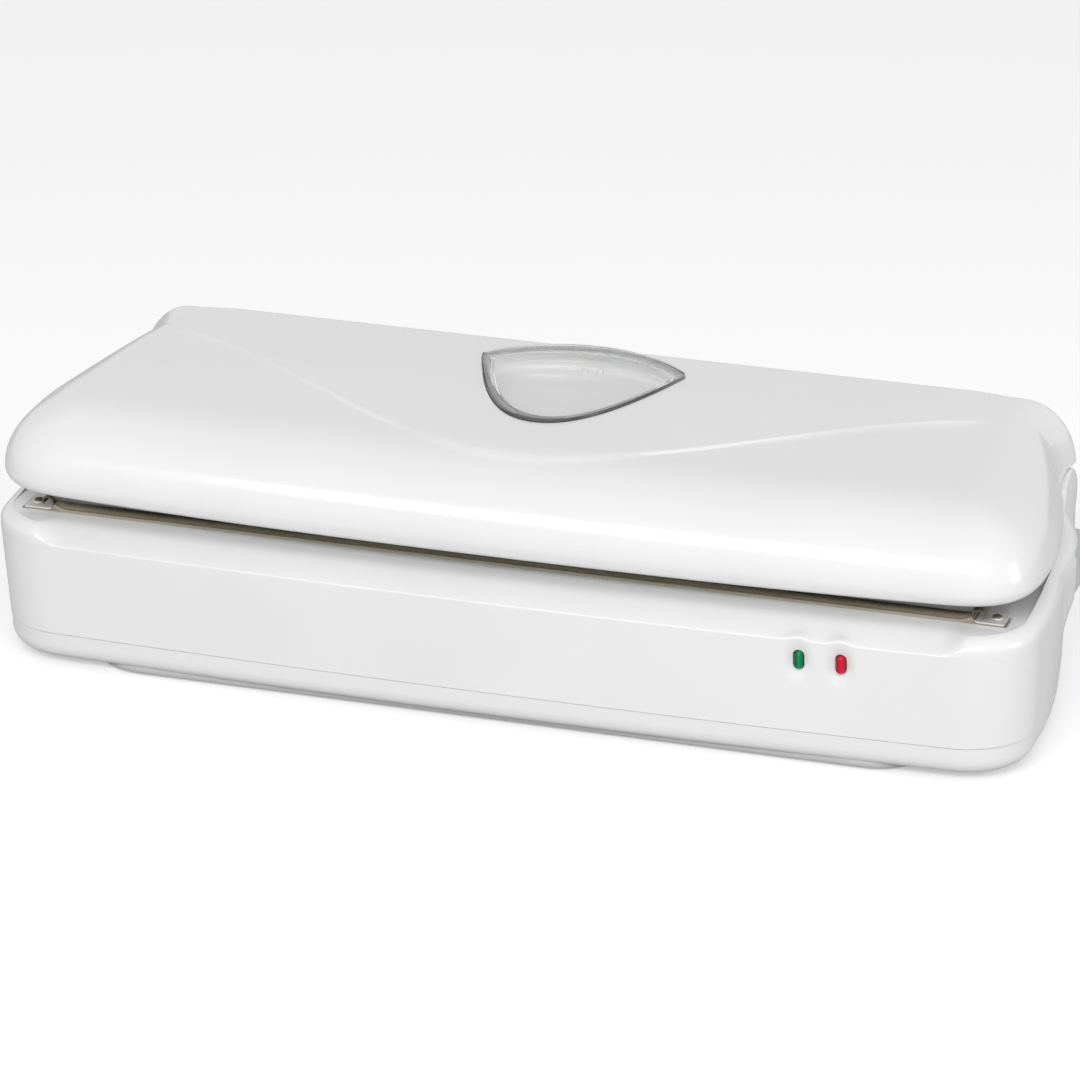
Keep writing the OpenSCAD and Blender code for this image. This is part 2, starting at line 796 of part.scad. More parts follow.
motor_z = floor_z + 2 + motor_d / 2;
motor_y = 0;
module pump_motor() {
    color("silver") translate([0, motor_y, motor_z]) difference() {
        union() {
            rod_x(motor_d, motor_x - motor_len / 2, motor_len);
            rod_x(10, motor_x + motor_len / 2 - eps, 2);
            // saddle that the motor lies on
            box([motor_x - motor_len / 2 + 4, -10, -motor_d / 2 - 2],
                [motor_x + motor_len / 2 - 4, 10, -motor_d / 2 + 3]);
        }
        rod_x(shaft_d + 2 * run_gap, motor_x, motor_len);
    }
}
shaft_start = motor_x + 4;
shaft_len = motor_len / 2 + 13;
eccentric_x = motor_x + motor_len / 2 + 4;
eccentric_t = 6;
module pump_shaft() {
    color("gray") translate([0, motor_y, motor_z]) {
        rod_x(shaft_d, shaft_start, shaft_len);
        translate([0, 0, eccentric_throw]) rod_x(eccentric_d, eccentric_x, eccentric_t);
    }
}
head_x = eccentric_x - 1.5;
head_len = eccentric_t + 12;
head_half = 15;
cam_room = eccentric_d + 2 * eccentric_throw + 1;
head_top = motor_z + 15;
head_out = head_x + head_len;
port_z = floor_z + 9;
stem_d = nozzle_bore + 2;
module pump_head() {
    color("dimgray") difference() {
        union() {
            box([head_x, motor_y - head_half, floor_z], [head_x + head_len, motor_y + head_half, head_top]);
            // nipple for the hose
            translate([0, motor_y, port_z]) rod_x(stem_d, head_out - eps, 5);
        }
        // room for the crank and its ring
        box([head_x - 1, motor_y - 11, motor_z - 11], [head_x + head_len - 3, motor_y + 11, motor_z + 11.5]);
        // outlet port
        translate([0, motor_y, port_z]) rod_x(nozzle_bore, head_out - 5, 12);
    }
}
module pump_diaphragm() {
    translate([0, motor_y, motor_z]) color("black") {
        difference() {
            union() {
                rod_x(cam_room + 4, eccentric_x + 1, eccentric_t - 2);
                box([eccentric_x + 1, -2, 0], [eccentric_x + eccentric_t - 1, 2, 9.5]);
                box([eccentric_x, -8, 9.2], [eccentric_x + 10, 8, 11.2]);
            }
            rod_x(cam_room, eccentric_x - 1, eccentric_t + 2);
        }
    }
}
hose_bore = stem_d + 2 * fit_gap;
hose_d = hose_bore + 2.4;
hose_start = [head_out + fit_gap, motor_y, port_z];
hose_end = [nozzle_x, nozzle_y, deck_z - trough_h - trough_wall - fit_gap];
hose_straight_x = 5.2;
hose_straight_z = 7.2;
hose_from = hose_start + [hose_straight_x, 0, 0];
hose_to = hose_end - [0, 0, hose_straight_z];
hose_reach = 7;
hose_steps = 10;
hose_sides = 20;

// The hose leaves the pump head level and turns up to the nozzle: a cubic curve and its direction
hose_mid = [hose_from + [hose_reach, 0, 0], hose_to - [0, 0, hose_reach]];
function hose_path(u) = pow(1 - u, 3) * hose_from + 3 * u * pow(1 - u, 2) * hose_mid[0]
    + 3 * u * u * (1 - u) * hose_mid[1] + pow(u, 3) * hose_to;
function hose_dir(u) = let (d = pow(1 - u, 2) * (hose_mid[0] - hose_from)
    + 2 * u * (1 - u) * (hose_mid[1] - hose_mid[0]) + u * u * (hose_to - hose_mid[1])) d / norm(d);

// Round body along the hose, made longer at both ends by over
module hose_solid(r, over) {
    // the first and last ring stand straight out from the two ends of the curve
    loft([for (k = [-1 : hose_steps + 1])
        let (u = min(max(k / hose_steps, 0), 1),
             t = hose_dir(u),
             c = hose_path(u) + t * (k < 0 ? -hose_straight_x - over
                 : k > hose_steps ? hose_straight_z + over : 0),
             side = cross(t, [0, 1, 0]) / norm(cross(t, [0, 1, 0])),
             up = cross(t, side))
        [for (i = [0 : hose_sides - 1]) let (a = 360 * i / hose_sides)
            c + r * (cos(a) * side + sin(a) * up)]]);
}
module air_hose() {
    color("lightgray") difference() {
        hose_solid(hose_d / 2, 0);
        hose_solid(hose_bore / 2, 1);
    }
}

valve_x = nozzle_x + 18;
module vent_valve() {
    color("silver") translate([valve_x, -8, floor_z]) {
        box([-8, -7, 0], [8, 7, 16]);
        translate([0, 0, 16 - eps]) cylinder(d = 6, h = 6);
    }
}

// ---------- switches ----------

switch_top = deck_under - 3.2;
module microswitch() {
    translate([plunger_x - 7, plunger_y, 0]) {
        difference() {
            box([-4, -10, switch_top - 16], [10, 10, switch_top]);
            for (s = [-1, 1]) translate([0, s * 5, switch_top - 12]) rod_x(2.6, -10, 30);
        }
        // bracket to the deck
        box([-4, 10 - 2, switch_top - eps], [2, 10, deck_under]);
        box([-4, -10, switch_top - eps], [2, -10 + 2, deck_under]);
    }
}
module microswitch_right() { color("black") microswitch(); }
module microswitch_left() { color("black") mirror([1, 0, 0]) microswitch(); }

plunger_travel = 1.5;
plunger_top = deck_z + 2.3;
module switch_plunger() {
    translate([plunger_x, plunger_y, switch_top + plunger_travel + fit_gap]) {
        cylinder(d = plunger_d, h = plunger_top - switch_top - plunger_travel - fit_gap);
    }
}
module switch_plunger_right() { color("white") switch_plunger(); }
module switch_plunger_left() { color("white") mirror([1, 0, 0]) switch_plunger(); }

// ---------- release buttons and latches ----------

tub_wall = 1.8;
ear_gap = 0.6;
ear_t = 3.6;
ear_r = 5;
lever_front = nose_y - latch_w / 2;
lever_back = button_y + latch_w / 2;
// Two ears that hold a latch pin
module latch_ears() {
    for (y = [lever_front - ear_gap - ear_t, lever_back + ear_gap])
        translate([latch_x, 0, latch_z]) {
            rod_y(2 * ear_r, y, ear_t);
            box([0, y, -ear_r], [through, y + ear_t, ear_r]);
        }
}

// Outside of the wing at the middle of the button
button_face = bend(half_w, button_y)[0] + wing_at(button_y, button_z);
pocket_back = button_face - button_t - button_travel - 0.8;

module button_form(grow) {
    w = button_len + 2 * grow;
    h = button_h + 2 * grow;
    r = 5 + grow;
    rotate([90, 0, 90]) linear_extrude(through) {
        translate([0, r / 2]) square([w, h - r], center = true);
        translate([0, -h / 2 + r / 2]) square([w - 2 * r, r], center = true);
        for (s = [-1, 1]) translate([s * (w / 2 - r), -h / 2 + r]) circle(r = r);
    }
}
module button_pocket() {
    translate([pocket_back, button_y, button_z]) button_form(fit_gap);
    translate([0, button_y, stem_z]) rod_x(stem_w + 2 * fit_gap, latch_x + latch_t, 16);
}
module release_button() {
    difference() {
        union() {
            intersection() {
                translate([button_face - button_t, button_y, button_z]) button_form(0);
                box([0, button_y - through, 0], [button_face - 0.6, button_y + through, shoulder_z]);
            }
            translate([0, button_y, stem_z])
                rod_x(stem_w, latch_stop, button_face - button_t - latch_stop + eps);
        }
        // thumb hollow
        translate([button_face + 27.6, button_y, button_z]) rotate([90, 0, 0])
            cylinder(r = 29, h = button_len - 4, center = true, $fn = 160);
    }
}
latch_stop = latch_x + latch_t / 2 + 0.5;
module release_button_right() { color("gainsboro") release_button(); }
module release_button_left() { color("gainsboro") mirror([1, 0, 0]) release_button(); }

spring_turns = 3;
spring_seg = 12;
wire_d = 0.8;
spring_x0 = pocket_back + 0.2;
spring_x1 = button_face - button_t - 0.2;
spring_r = stem_w / 2 + 1.2;
module button_spring() {
    steps = spring_turns * spring_seg;
    translate([0, button_y, stem_z]) loft([for (k = [0 : steps])
        let (a = 360 * k / spring_seg,
             x = spring_x0 + wire_d / 2 + (spring_x1 - spring_x0 - wire_d) * k / steps,
             c = [x, spring_r * cos(a), spring_r * sin(a)],
             u = [1, 0, 0],
             v = [0, cos(a), sin(a)])
        [for (i = [0 : 4]) c + wire_d / 2 * (cos(72 * i) * u + sin(72 * i) * v)]]);
}
module button_spring_right() { color("silver") button_spring(); }
module button_spring_left() { color("silver") mirror([1, 0, 0]) button_spring(); }

nose_z = deck_under - 2;
nose_t = 2;
nose_out = 2.2;
lever_d = 8;
module latch_lever() {
    x0 = latch_x - latch_t / 2;
    x1 = latch_x + latch_t / 2;
    difference() {
        union() {
            translate([latch_x, 0, latch_z]) rod_y(lever_d, lever_front, lever_back - lever_front);
            // arm that the button pushes
            box([x0, lever_back - latch_w, latch_z], [x1, lever_back, stem_z + stem_w]);
            // arm and nose that hold the lid catch
            box([x0, lever_front, latch_z], [x1, lever_front + latch_w, nose_z]);
            box([x0, lever_front, nose_z - nose_t], [x1 + nose_out, lever_front + latch_w, nose_z]);
        }
        translate([latch_x, 0, latch_z]) rod_y(latch_pin_d + 2 * run_gap, -through, 3 * through);
    }
}
module latch_lever_right() { color("lightgray") latch_lever(); }
module latch_lever_left() { color("lightgray") mirror([1, 0, 0]) latch_lever(); }

module latch_pin() {
    translate([latch_x, 0, latch_z])
        rod_y(latch_pin_d, lever_front - ear_gap - ear_t, lever_back - lever_front + 2 * (ear_gap + ear_t));
}
module latch_pin_right() { color("silver") latch_pin(); }
module latch_pin_left() { color("silver") mirror([1, 0, 0]) latch_pin(); }

// ---------- hinge ----------

module hinge_pin() { at_hinge() rod_x(hinge_pin_d, tower_out - 3.2 - hinge_pin_len, hinge_pin_len); }
module hinge_pin_right() { color("silver") hinge_pin(); }
module hinge_pin_left() { color("silver") mirror([1, 0, 0]) hinge_pin(); }

lug_x = 60;
lug_w = 24;
barrel_wall = 2;
barrel_plug = 8;
lug_front = back_y - 31.5;
module hinge_barrel() {
    color("white") difference() {
        union() {
            at_hinge() rod_x(2 * barrel_r, -barrel_half, 2 * barrel_half);
            // lugs screwed on to the liner
            for (x = [-2 * lug_x, -lug_x, 0, lug_x, 2 * lug_x])
                box([x - lug_w / 2, lug_front, liner_top], [x + lug_w / 2, hinge_y, liner_top + 2.4]);
        }
        at_hinge() rod_x(2 * (barrel_r - barrel_wall), -barrel_half + barrel_plug, 2 * (barrel_half - barrel_plug));
        at_hinge() rod_x(hinge_pin_d + 2 * run_gap, -half_w, body_w);
        for (x = [-2 * lug_x, -lug_x, 0, lug_x, 2 * lug_x])
            translate([x, lug_front + 3, liner_top - 1]) cylinder(d = 3.2, h = 5);
    }
}

// ---------- lid ----------

roll_from = front_y + 55.5;
roll_to = back_y - 15.5;
waist_from = widest_y;
waist_power = 1.5;
// Half width of the lid at a depth: drawn in to the waist, then out to the rear lobes
function lid_side(t) = lid_half
    - lid_waist * pow(min(max((t - waist_from) / (waist_y - waist_from), 0), 1), waist_power)
    + lobe_out * smooth((t - waist_y) / (back_y - waist_y));
function lid_bend(s, t) = [s, t + bow_at(s, t)];
function lid_bent(pts) = [for (p = pts) [p[0] * lid_side(p[1]) / lid_half, p[1] + bow_at(p[0], p[1])]];
function side_roll_at(t) = side_roll + (hump_roll - side_roll) * smooth((t - roll_from) / (roll_to - roll_from));

// Height step behind the sweeping line, fading out at its ends
function sweep_y(s) = sweep_front + (sweep_back - sweep_front)
    * (1 - cos(180 * min(abs(s), sweep_half) / (sweep_half + 19))) / 2
    / ((1 - cos(180 * sweep_half / (sweep_half + 19))) / 2);
sweep_soft = 3;
function sweep_at(s, t) = sweep_step * smooth((t - sweep_y(s)) / sweep_soft)
    * smooth((sweep_half + 14 - abs(s)) / 20);

// Lid surface: u and v run from -1 to 1 across the edge rolls, core between them.
// a and b are the shares of the roll used up sideways and lengthways
corner_power = 3.2;
function disc(a, b) = let (
        m = max(a, b, 0.0001),
        r = pow(pow(a, corner_power) + pow(b, corner_power), 1 / corner_power)
    ) [a, b] * m / max(r, 0.0001);
function lid_point(side, a, core_s, fwd, b, core_t, off) =
    let (
        d = disc(a, b),
        t = fwd < 0 ? lid_front + off + front_roll - off - (front_roll - off) * d[1]
            : fwd > 0 ? back_y - back_roll + (back_roll - off) * d[1] : core_t,
        roll = side_roll_at(t) - off,
        s = side == 0 ? core_s : side * (lid_side(t) - off - roll + roll * d[0]),
        q = pow(max(a, b), 2),
        p = lid_bend(s, t),
        step = off > 0 ? 0 : sweep_at(s, t) - sweep_step
    )
    [p[0], p[1], lid_wide_z + (lid_top - off - lid_wide_z) * sqrt(1 - q) + step * sqrt(1 - q)];

n_wide = 20;
n_deep = 8;
// Column and row lists: [side, share of roll, share of core]
function lid_cols(nr, nc) = concat(
    [for (k = [nr : -1 : 1]) [-1, sin(90 * k / nr), 0]],
    [for (k = [0 : nc]) [0, 0, k / nc]],
    [for (k = [1 : nr]) [1, sin(90 * k / nr), 0]]
);
function core_half(t) = lid_side(t) - side_roll_at(t);
// Rows of the core follow the sweeping line: before it, on it, then evenly to the back
function core_row(s, k, n) =
    let (t0 = lid_front + front_roll, t1 = back_y - back_roll,
         y0 = max(sweep_y(s), t0 + 1), y1 = min(y0 + sweep_soft, t1 - 1))
    k == 0 ? t0 : k == 1 ? y0 : k == 2 ? y1 : y1 + (t1 - y1) * (k - 2) / (n - 2);

function lid_grid(nr, nc, nd, off) = [
    for (row = lid_cols(nr, nd)) [
        for (col = lid_cols(nr, nc))
            let (
                k = round(row[2] * nd),
                side = col[0],
                guess_s = side == 0
                    ? (2 * col[2] - 1) * core_half(row[0] < 0 ? lid_front : row[0] > 0 ? back_y : 0)
                    : side * (lid_half - side_roll),
                t = core_row(guess_s, k, nd),
                core_s = (2 * col[2] - 1) * core_half(row[0] < 0 ? lid_front : row[0] > 0 ? back_y : t)
            )
            lid_point(side, col[1], core_s, row[0], row[1], t, off)
    ]
];

// Boundary of a grid, in order round the plan, as index pairs
function rim_index(rows, cols) = concat(
    [for (j = [0 : cols - 2]) [0, j]],
    [for (i = [0 : rows - 2]) [i, cols - 1]],
    [for (j = [cols - 1 : -1 : 1]) [rows - 1, j]],
    [for (i = [rows - 1 : -1 : 1]) [i, 0]]
);

// Point of the lip below the widest line: tucked in by a share of the way to the middle
lip_steps = 3;
function lip_point(p, f, low) =
    let (
        a = 60 * f,
        tuck = lip_tuck * (1 - cos(a)) / (1 - cos(60)),
        back = smooth((back_y - 2 - p[1]) / 12),
        core = core_half(p[1]),
        inward = [abs(p[0]) > core ? -sign(p[0]) * min((abs(p[0]) - core) / side_roll, 1) : 0,
                  p[1] < lid_front + front_roll ? min((lid_front + front_roll - p[1]) / front_roll, 1) : 0],
        size = max(norm(inward), 0.001)
    )
    [p[0] + inward[0] / size * tuck * back, p[1] + inward[1] / size * tuck * back,
     lid_wide_z - (lid_wide_z - low) * sin(a) / sin(60)];

module lid_solid(nr, nc, nd, off, low, drop) {
    g = lid_grid(nr, nc, nd, off);
    rows = len(g);
    cols = len(g[0]);
    rim = rim_index(rows, cols);
    n = len(rim);
    base = rows * cols;
    rings = lip_steps + (drop > 0 ? 1 : 0);
    // the rim ring of the grid, then the rings of the lip, then one straight below it
    function ring_id(k, i) = k == 0 ? rim[i][0] * cols + rim[i][1] : base + (k - 1) * n + i;
    polyhedron(
        points = concat(
            [for (r = g) each r],
            [for (k = [1 : rings], c = rim)
                lip_point(g[c[0]][c[1]], min(k / lip_steps, 1), low)
                    - [0, 0, k > lip_steps ? drop : 0]]
        ),
        faces = concat(
            [for (i = [0 : rows - 2], j = [0 : cols - 2])
                [i * cols + j, (i + 1) * cols + j + 1, i * cols + j + 1]],
            [for (i = [0 : rows - 2], j = [0 : cols - 2])
                [i * cols + j, (i + 1) * cols + j, (i + 1) * cols + j + 1]],
            [for (k = [0 : rings - 1], i = [0 : n - 1]) let (j = (i + 1) % n)
                [ring_id(k + 1, i), ring_id(k, i), ring_id(k, j)]],
            [for (k = [0 : rings - 1], i = [0 : n - 1]) let (j = (i + 1) % n)
                [ring_id(k + 1, i), ring_id(k, j), ring_id(k + 1, j)]],
            [[for (i = [0 : n - 1]) ring_id(rings, i)]]
        )
    );
}

// Window outline drawn in by inset: parabola in front, circular arc behind
window_power = 0.47;
function window_shape(inset) =
    let (
        w = window_half - inset,
        f = window_front + 1.5 * inset,
        c = window_side - 0.4 * inset,
        b = window_back - inset,
        sag = b - c,
        r = (w * w + sag * sag) / (2 * sag),
        half = asin(w / r)
    )
    concat(
        [for (k = [-8 : 8]) let (u = k / 8) [w * sign(u) * pow(abs(u), 2 * window_power), f + (c - f) * u * u]],
        [for (k = [1 : 9]) let (a = 90 - half + 2 * half * k / 10) [r * cos(a), b - r + r * sin(a)]]
    );

module window_prism(inset, z0, z1) {
    translate([0, 0, z0]) linear_extrude(z1 - z0) polygon(window_shape(inset));
}

well_wall = 1.8;
window_seat = lid_top + window_proud - window_t;
well_floor = lid_top - well_depth;
lid_boss_front_x = lid_half - 23;
lid_boss_back_x = lid_half - 48;
lid_boss_mid_x = window_half + 10;
lid_boss_front_y = front_y + 47.5;
lid_boss_back_y = back_y - 37.5;
lid_boss_spots = [
    [-lid_boss_front_x, lid_boss_front_y], [lid_boss_front_x, lid_boss_front_y],
    [-lid_boss_back_x, lid_boss_back_y], [lid_boss_back_x, lid_boss_back_y],
    [-lid_boss_mid_x, lid_boss_back_y], [lid_boss_mid_x, lid_boss_back_y]
];
tower_gap = 0.6;
lid_boss_top = lid_top - lid_wall + 0.3;
well_plate = 1.5;
post_pitch = 5.5;
post_y = window_back - 6;
post_d = 2.2;
post_h = 2.8;
chamber_top = well_floor - well_plate - 1.5;

// Room for a hinge tower: a round cut about the hinge axis, open below and behind
module tower_room() {
    r = tower_r + tower_gap;
    x0 = tower_in - 1.2;
    x1 = lid_half + 10;
    at_hinge() rod_x(2 * r, x0, x1 - x0);
    box([x0, hinge_y - r, rim_z - 5], [x1, hinge_y, hinge_z + 3]);
    box([x0, hinge_y, rim_z - 5], [x1, back_y + 1, hinge_z + r]);
}

// Two small posts that stand in the cup under the window
module well_posts() {
    for (s = [-1, 1]) translate([s * post_pitch / 2, post_y, well_floor - 1])
        cylinder(d = post_d, h = post_h + 1);
}

module lid_shell() {
    color("white") difference() {
        union() {
            difference() {
                lid_solid(5, n_wide, n_deep, 0, rim_z, 4);
                lid_solid(4, 10, 3, lid_wall, rim_z, 6);
                // trims the lower edge level
                box([-body_w, -body_d, rim_z - 12], [body_w, body_d, rim_z]);
            }
            // cup under the window
            intersection() {
                window_prism(-well_wall, well_floor - well_plate, lid_top - 1);
                box([-window_half * 2, lid_front, rim_z], [window_half * 2, back_y - lid_wall, lid_top]);
            }
            for (p = lid_boss_spots)
                translate([p[0], p[1], liner_top]) cylinder(d = 7, h = lid_boss_top - liner_top);
        }
        window_prism(-fit_gap, window_seat, lid_top + 5);
        difference() {
            window_prism(window_ledge, well_floor, lid_top + 5);
            well_posts();
        }
        for (p = lid_boss_spots)
            translate([p[0], p[1], liner_top - 1]) cylinder(d = screw_bore, h = 12);
        // room for the hinge towers and the barrel
        both_sides() tower_room();
        at_hinge() rod_x(2 * (barrel_r + fit_gap), -tower_in, 2 * tower_in);
    }
}

liner_back = hinge_y - barrel_r - 1.2;
liner_x = trough_x - 4;
peg_low = plunger_top + fit_gap;
module lid_liner() {
    color("white") difference() {
        union() {
            translate([0, 0, liner_z]) linear_extrude(liner_wall) polygon(lid_bent(outline(
                lid_half - lip_tuck - lid_wall - 2, lid_front + lip_tuck + lid_wall + 2, liner_back,
                corner_front - 2, 4)));
            box([-liner_x, trough_f + 4, liner_z], [liner_x, trough_b - 4, chamber_top]);
            // pegs that press the switch plungers
            both_sides() translate([plunger_x, plunger_y, peg_low]) cylinder(d = 5, h = liner_top - peg_low);
        }
        box([-liner_x + liner_wall, trough_f + 4 + liner_wall, liner_z - 1],
            [liner_x - liner_wall, trough_b - 4 - liner_wall, chamber_top - liner_wall]);
        for (p = lid_boss_spots)
            translate([p[0], p[1], liner_z - 1]) cylinder(d = 3.2, h = 5);
        for (x = [-2 * lug_x, -lug_x, 0, lug_x, 2 * lug_x])
            translate([x, lug_front + 3, liner_z - 1]) cylinder(d = 3.2, h = 5);
    }
}

module lid_window() {
    color([0.8, 0.85, 0.88, 0.5]) difference() {
        union() {
            window_prism(0, window_seat, window_seat + window_t);
            window_prism(window_ledge + fit_gap, window_seat - 3, window_seat + 0.5);
        }
        window_prism(window_ledge + fit_gap + 1.6, window_seat - 4, window_seat + 1);
    }
}

module upper_gasket() {
    color("gray") gasket(deck_z + gasket_h + gasket_gap, liner_z);
}

module pressure_strip() {
    color("dimgray")
        box([-strip_len / 2 - 1, strip_y - press_w / 2, strip_top + press_gap],
            [strip_len / 2 + 1, strip_y + press_w / 2, liner_z]);
}

catch_low = nose_z + 0.5;
catch_w = latch_w - 1;
catch_t = 2.4;
hook_out = 1.6;
hook_t = 2;
catch_x = latch_x + latch_t / 2 + nose_out + 0.4;
module lid_catch() {
    y0 = nose_y - catch_w / 2;
    y1 = nose_y + catch_w / 2;
    box([catch_x, y0, catch_low], [catch_x + catch_t, y1, liner_z]);
    box([catch_x - hook_out, y0, catch_low], [catch_x + catch_t, y1, catch_low + hook_t]);
}
module lid_catch_right() { color("white") lid_catch(); }
module lid_catch_left() { color("white") mirror([1, 0, 0]) lid_catch(); }

module lid_screws() {
    color("silver") {
        for (p = lid_boss_spots) translate([p[0], p[1], liner_z - 1.4]) screw(5, 1.4, 2.5, 11);
        for (x = [-2 * lug_x, -lug_x, 0, lug_x, 2 * lug_x])
            translate([x, lug_front + 3, liner_z - 1.4]) screw(5, 1.4, 2.5, 6);
    }
}

base_housing();
bottom_pan();
rubber_feet();
base_screws();
cord_gland();
heater_bar();
heating_band();
cover_strip();
end_clip_left();
end_clip_right();
vacuum_trough();
lower_gasket();
suction_nozzle();
air_hose();
green_light();
red_light();
light_board();
control_board();
board_parts();
transformer_core();
transformer_winding();
pump_motor();
pump_shaft();
pump_head();
pump_diaphragm();
vent_valve();
microswitch_left();
microswitch_right();
switch_plunger_left();
switch_plunger_right();
release_button_left();
release_button_right();
button_spring_left();
button_spring_right();
latch_lever_left();
latch_lever_right();
latch_pin_left();
latch_pin_right();
hinge_pin_left();
hinge_pin_right();
lid_shell();
lid_liner();
hinge_barrel();
lid_window();
upper_gasket();
pressure_strip();
lid_catch_left();
lid_catch_right();
lid_screws();
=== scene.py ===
# %% [markdown]
# # A household vacuum sealer
# The appliance is a long, low box in glossy white plastic with a wide lid hinged along its back.
# Its solids come from a CAD model. This lesson gives them their finished surfaces and their light.
# First the frame is loaded: the CAD parts and their record.

# %% Load the frame
import json
import math
import bmesh
import bpy
import numpy as np
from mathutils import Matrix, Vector


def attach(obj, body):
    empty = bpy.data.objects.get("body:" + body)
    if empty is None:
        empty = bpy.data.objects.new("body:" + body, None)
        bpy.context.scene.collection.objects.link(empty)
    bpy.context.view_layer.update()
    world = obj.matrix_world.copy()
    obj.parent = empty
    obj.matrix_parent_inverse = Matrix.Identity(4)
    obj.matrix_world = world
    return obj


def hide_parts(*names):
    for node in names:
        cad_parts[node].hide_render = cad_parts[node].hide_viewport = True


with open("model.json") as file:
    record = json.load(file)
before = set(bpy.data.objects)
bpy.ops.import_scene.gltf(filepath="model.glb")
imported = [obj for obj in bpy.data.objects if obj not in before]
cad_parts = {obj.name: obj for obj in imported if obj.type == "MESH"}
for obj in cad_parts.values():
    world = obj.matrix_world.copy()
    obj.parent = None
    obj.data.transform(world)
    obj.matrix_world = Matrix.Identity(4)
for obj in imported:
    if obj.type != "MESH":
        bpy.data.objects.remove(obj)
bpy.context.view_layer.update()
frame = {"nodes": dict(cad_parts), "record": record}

nodes = frame["nodes"]
scene = bpy.context.scene

# %% [markdown]
# ## Camera
# The object is seen from its front right, a little from above, with a long lens.
# A long lens far away keeps the long front edge nearly straight.
# The camera comes first, because everything else is judged through it.

# %% Camera
MM = 0.001
AIM = np.array([-2.0, -2.5, 42.7]) * MM
turn, tilt, reach = math.radians(17.68), math.radians(22.34), 2.0153
away = np.array([math.sin(turn) * math.cos(tilt), -math.cos(turn) * math.cos(tilt), math.sin(tilt)])
optics = bpy.data.cameras.new("view")
optics.lens, optics.sensor_width, optics.sensor_fit = 200.0, 36.0, "HORIZONTAL"
optics.clip_start, optics.clip_end = 0.1, 60.0
camera = bpy.data.objects.new("view", optics)
scene.collection.objects.link(camera)
camera.location = AIM + away * reach
camera.rotation_euler = (math.pi / 2 - tilt, 0.0, turn)
scene.camera = camera
print("camera at", [round(c, 4) for c in camera.location])

# %% [markdown]
# ## Mesh helpers
# A moulded surface is worked out as whole arrays of points and put into a mesh in one go.
# A lattice of points becomes quads; rings of points stacked on each other become a closed wall.
# Holes and slots are cut afterwards with exact booleans, as a moulding tool's pins would leave them.

# %% Meshes from arrays
def new_piece(name, points, faces):
    """Object from an array of points in millimetres and a list of faces."""
    mesh = bpy.data.meshes.new(name)
    mesh.from_pydata((np.asarray(points, float) * MM).tolist(), [], [list(f) for f in faces])
    mesh.validate()
    piece = bpy.data.objects.new(name, mesh)
    scene.collection.objects.link(piece)
    return piece


def lattice_faces(rows, cols, wrap=False):
    """Quads of a lattice whose point (i, j) is number i * cols + j; wrap closes its rows."""
    i, j = np.meshgrid(np.arange(rows - 1), np.arange(cols if wrap else cols - 1), indexing="ij")
    k = (j + 1) % cols
    quads = np.stack([i * cols + j, i * cols + k, (i + 1) * cols + k, (i + 1) * cols + j], -1)
    return quads.reshape(-1, 4).tolist()


def lattice_rim(rows, cols):
    """Numbers of a lattice's border points, once round."""
    i, j = np.arange(rows - 1), np.arange(cols - 1)
    return np.concatenate([j, i * cols + cols - 1, rows * cols - 1 - j, (rows - 1 - i) * cols])


def ring_wall(name, rings):
    """Closed solid: rings of equal length from low to high, with a flat face on the first and last."""
    rings = np.asarray(rings, float)
    m, n = rings.shape[:2]
    faces = lattice_faces(m, n, wrap=True)
    faces.append(list(range(n))[::-1])
    faces.append(list(range((m - 1) * n, m * n)))
    return new_piece(name, rings.reshape(-1, 3), faces)


# %% Prisms, rods and pegs
def lift(outline, z):
    """Plan outline placed at a height, or at a height for each of its points."""
    return np.column_stack([outline, np.broadcast_to(z, len(outline))])


def circle(x, y, radius, n):
    """Points of a circle."""
    a = 2 * np.pi * np.arange(n) / n
    return np.column_stack([x + radius * np.cos(a), y + radius * np.sin(a)])


def prism(name, outline, low, high):
    """Straight prism over a plan outline, counterclockwise, from one height to another."""
    return ring_wall(name, [lift(outline, z) for z in (low, high)])


def side_prism(name, profile_yz, x0, x1):
    """Prism along X over a profile given in Y and Z."""
    profile_yz = np.asarray(profile_yz, float)
    return ring_wall(name, [np.column_stack([np.full(len(profile_yz), x), profile_yz]) for x in (x0, x1)])


def front_ring(profile_xz, y):
    """Profile in X and Z, counterclockwise seen from the front, placed at a depth."""
    x, z = np.asarray(profile_xz, float)[::-1].T
    return np.column_stack([x, np.full(len(x), y), z])


def front_prism(name, profile_xz, y0, y1):
    """Prism along Y over a profile given in X and Z."""
    return ring_wall(name, [front_ring(profile_xz, y) for y in (y0, y1)])


def block(name, low, high):
    """Box from its lowest to its highest corner, as a cutter."""
    (x0, y0, z0), (x1, y1, z1) = low, high
    return prism(name, [(x0, y0), (x1, y0), (x1, y1), (x0, y1)], z0, z1)


def rod_x(name, y, z, radius, x0, x1, n=96):
    """Cylinder along X."""
    return side_prism(name, circle(y, z, radius, n), x0, x1)


def rod_z(name, x, y, radius, z0, z1, n=48):
    """Cylinder along Z."""
    return prism(name, circle(x, y, radius, n), z0, z1)


def peg(name, x, y, levels, n):
    """Upright turned form from a list of (radius, height)."""
    return ring_wall(name, [lift(circle(x, y, r, n), z) for r, z in levels])


# %% Cutting, smoothing and joining
def cut(piece, *tools, how="DIFFERENCE"):
    """Exact booleans one after another; each tool is used up."""
    for tool in tools:
        step = piece.modifiers.new("cut", "BOOLEAN")
        step.operation, step.solver, step.object = how, "EXACT", tool
        done = bpy.data.meshes.new_from_object(piece.evaluated_get(bpy.context.evaluated_depsgraph_get()))
        piece.modifiers.clear()
        piece.data = done
        bpy.data.objects.remove(tool)
    return piece


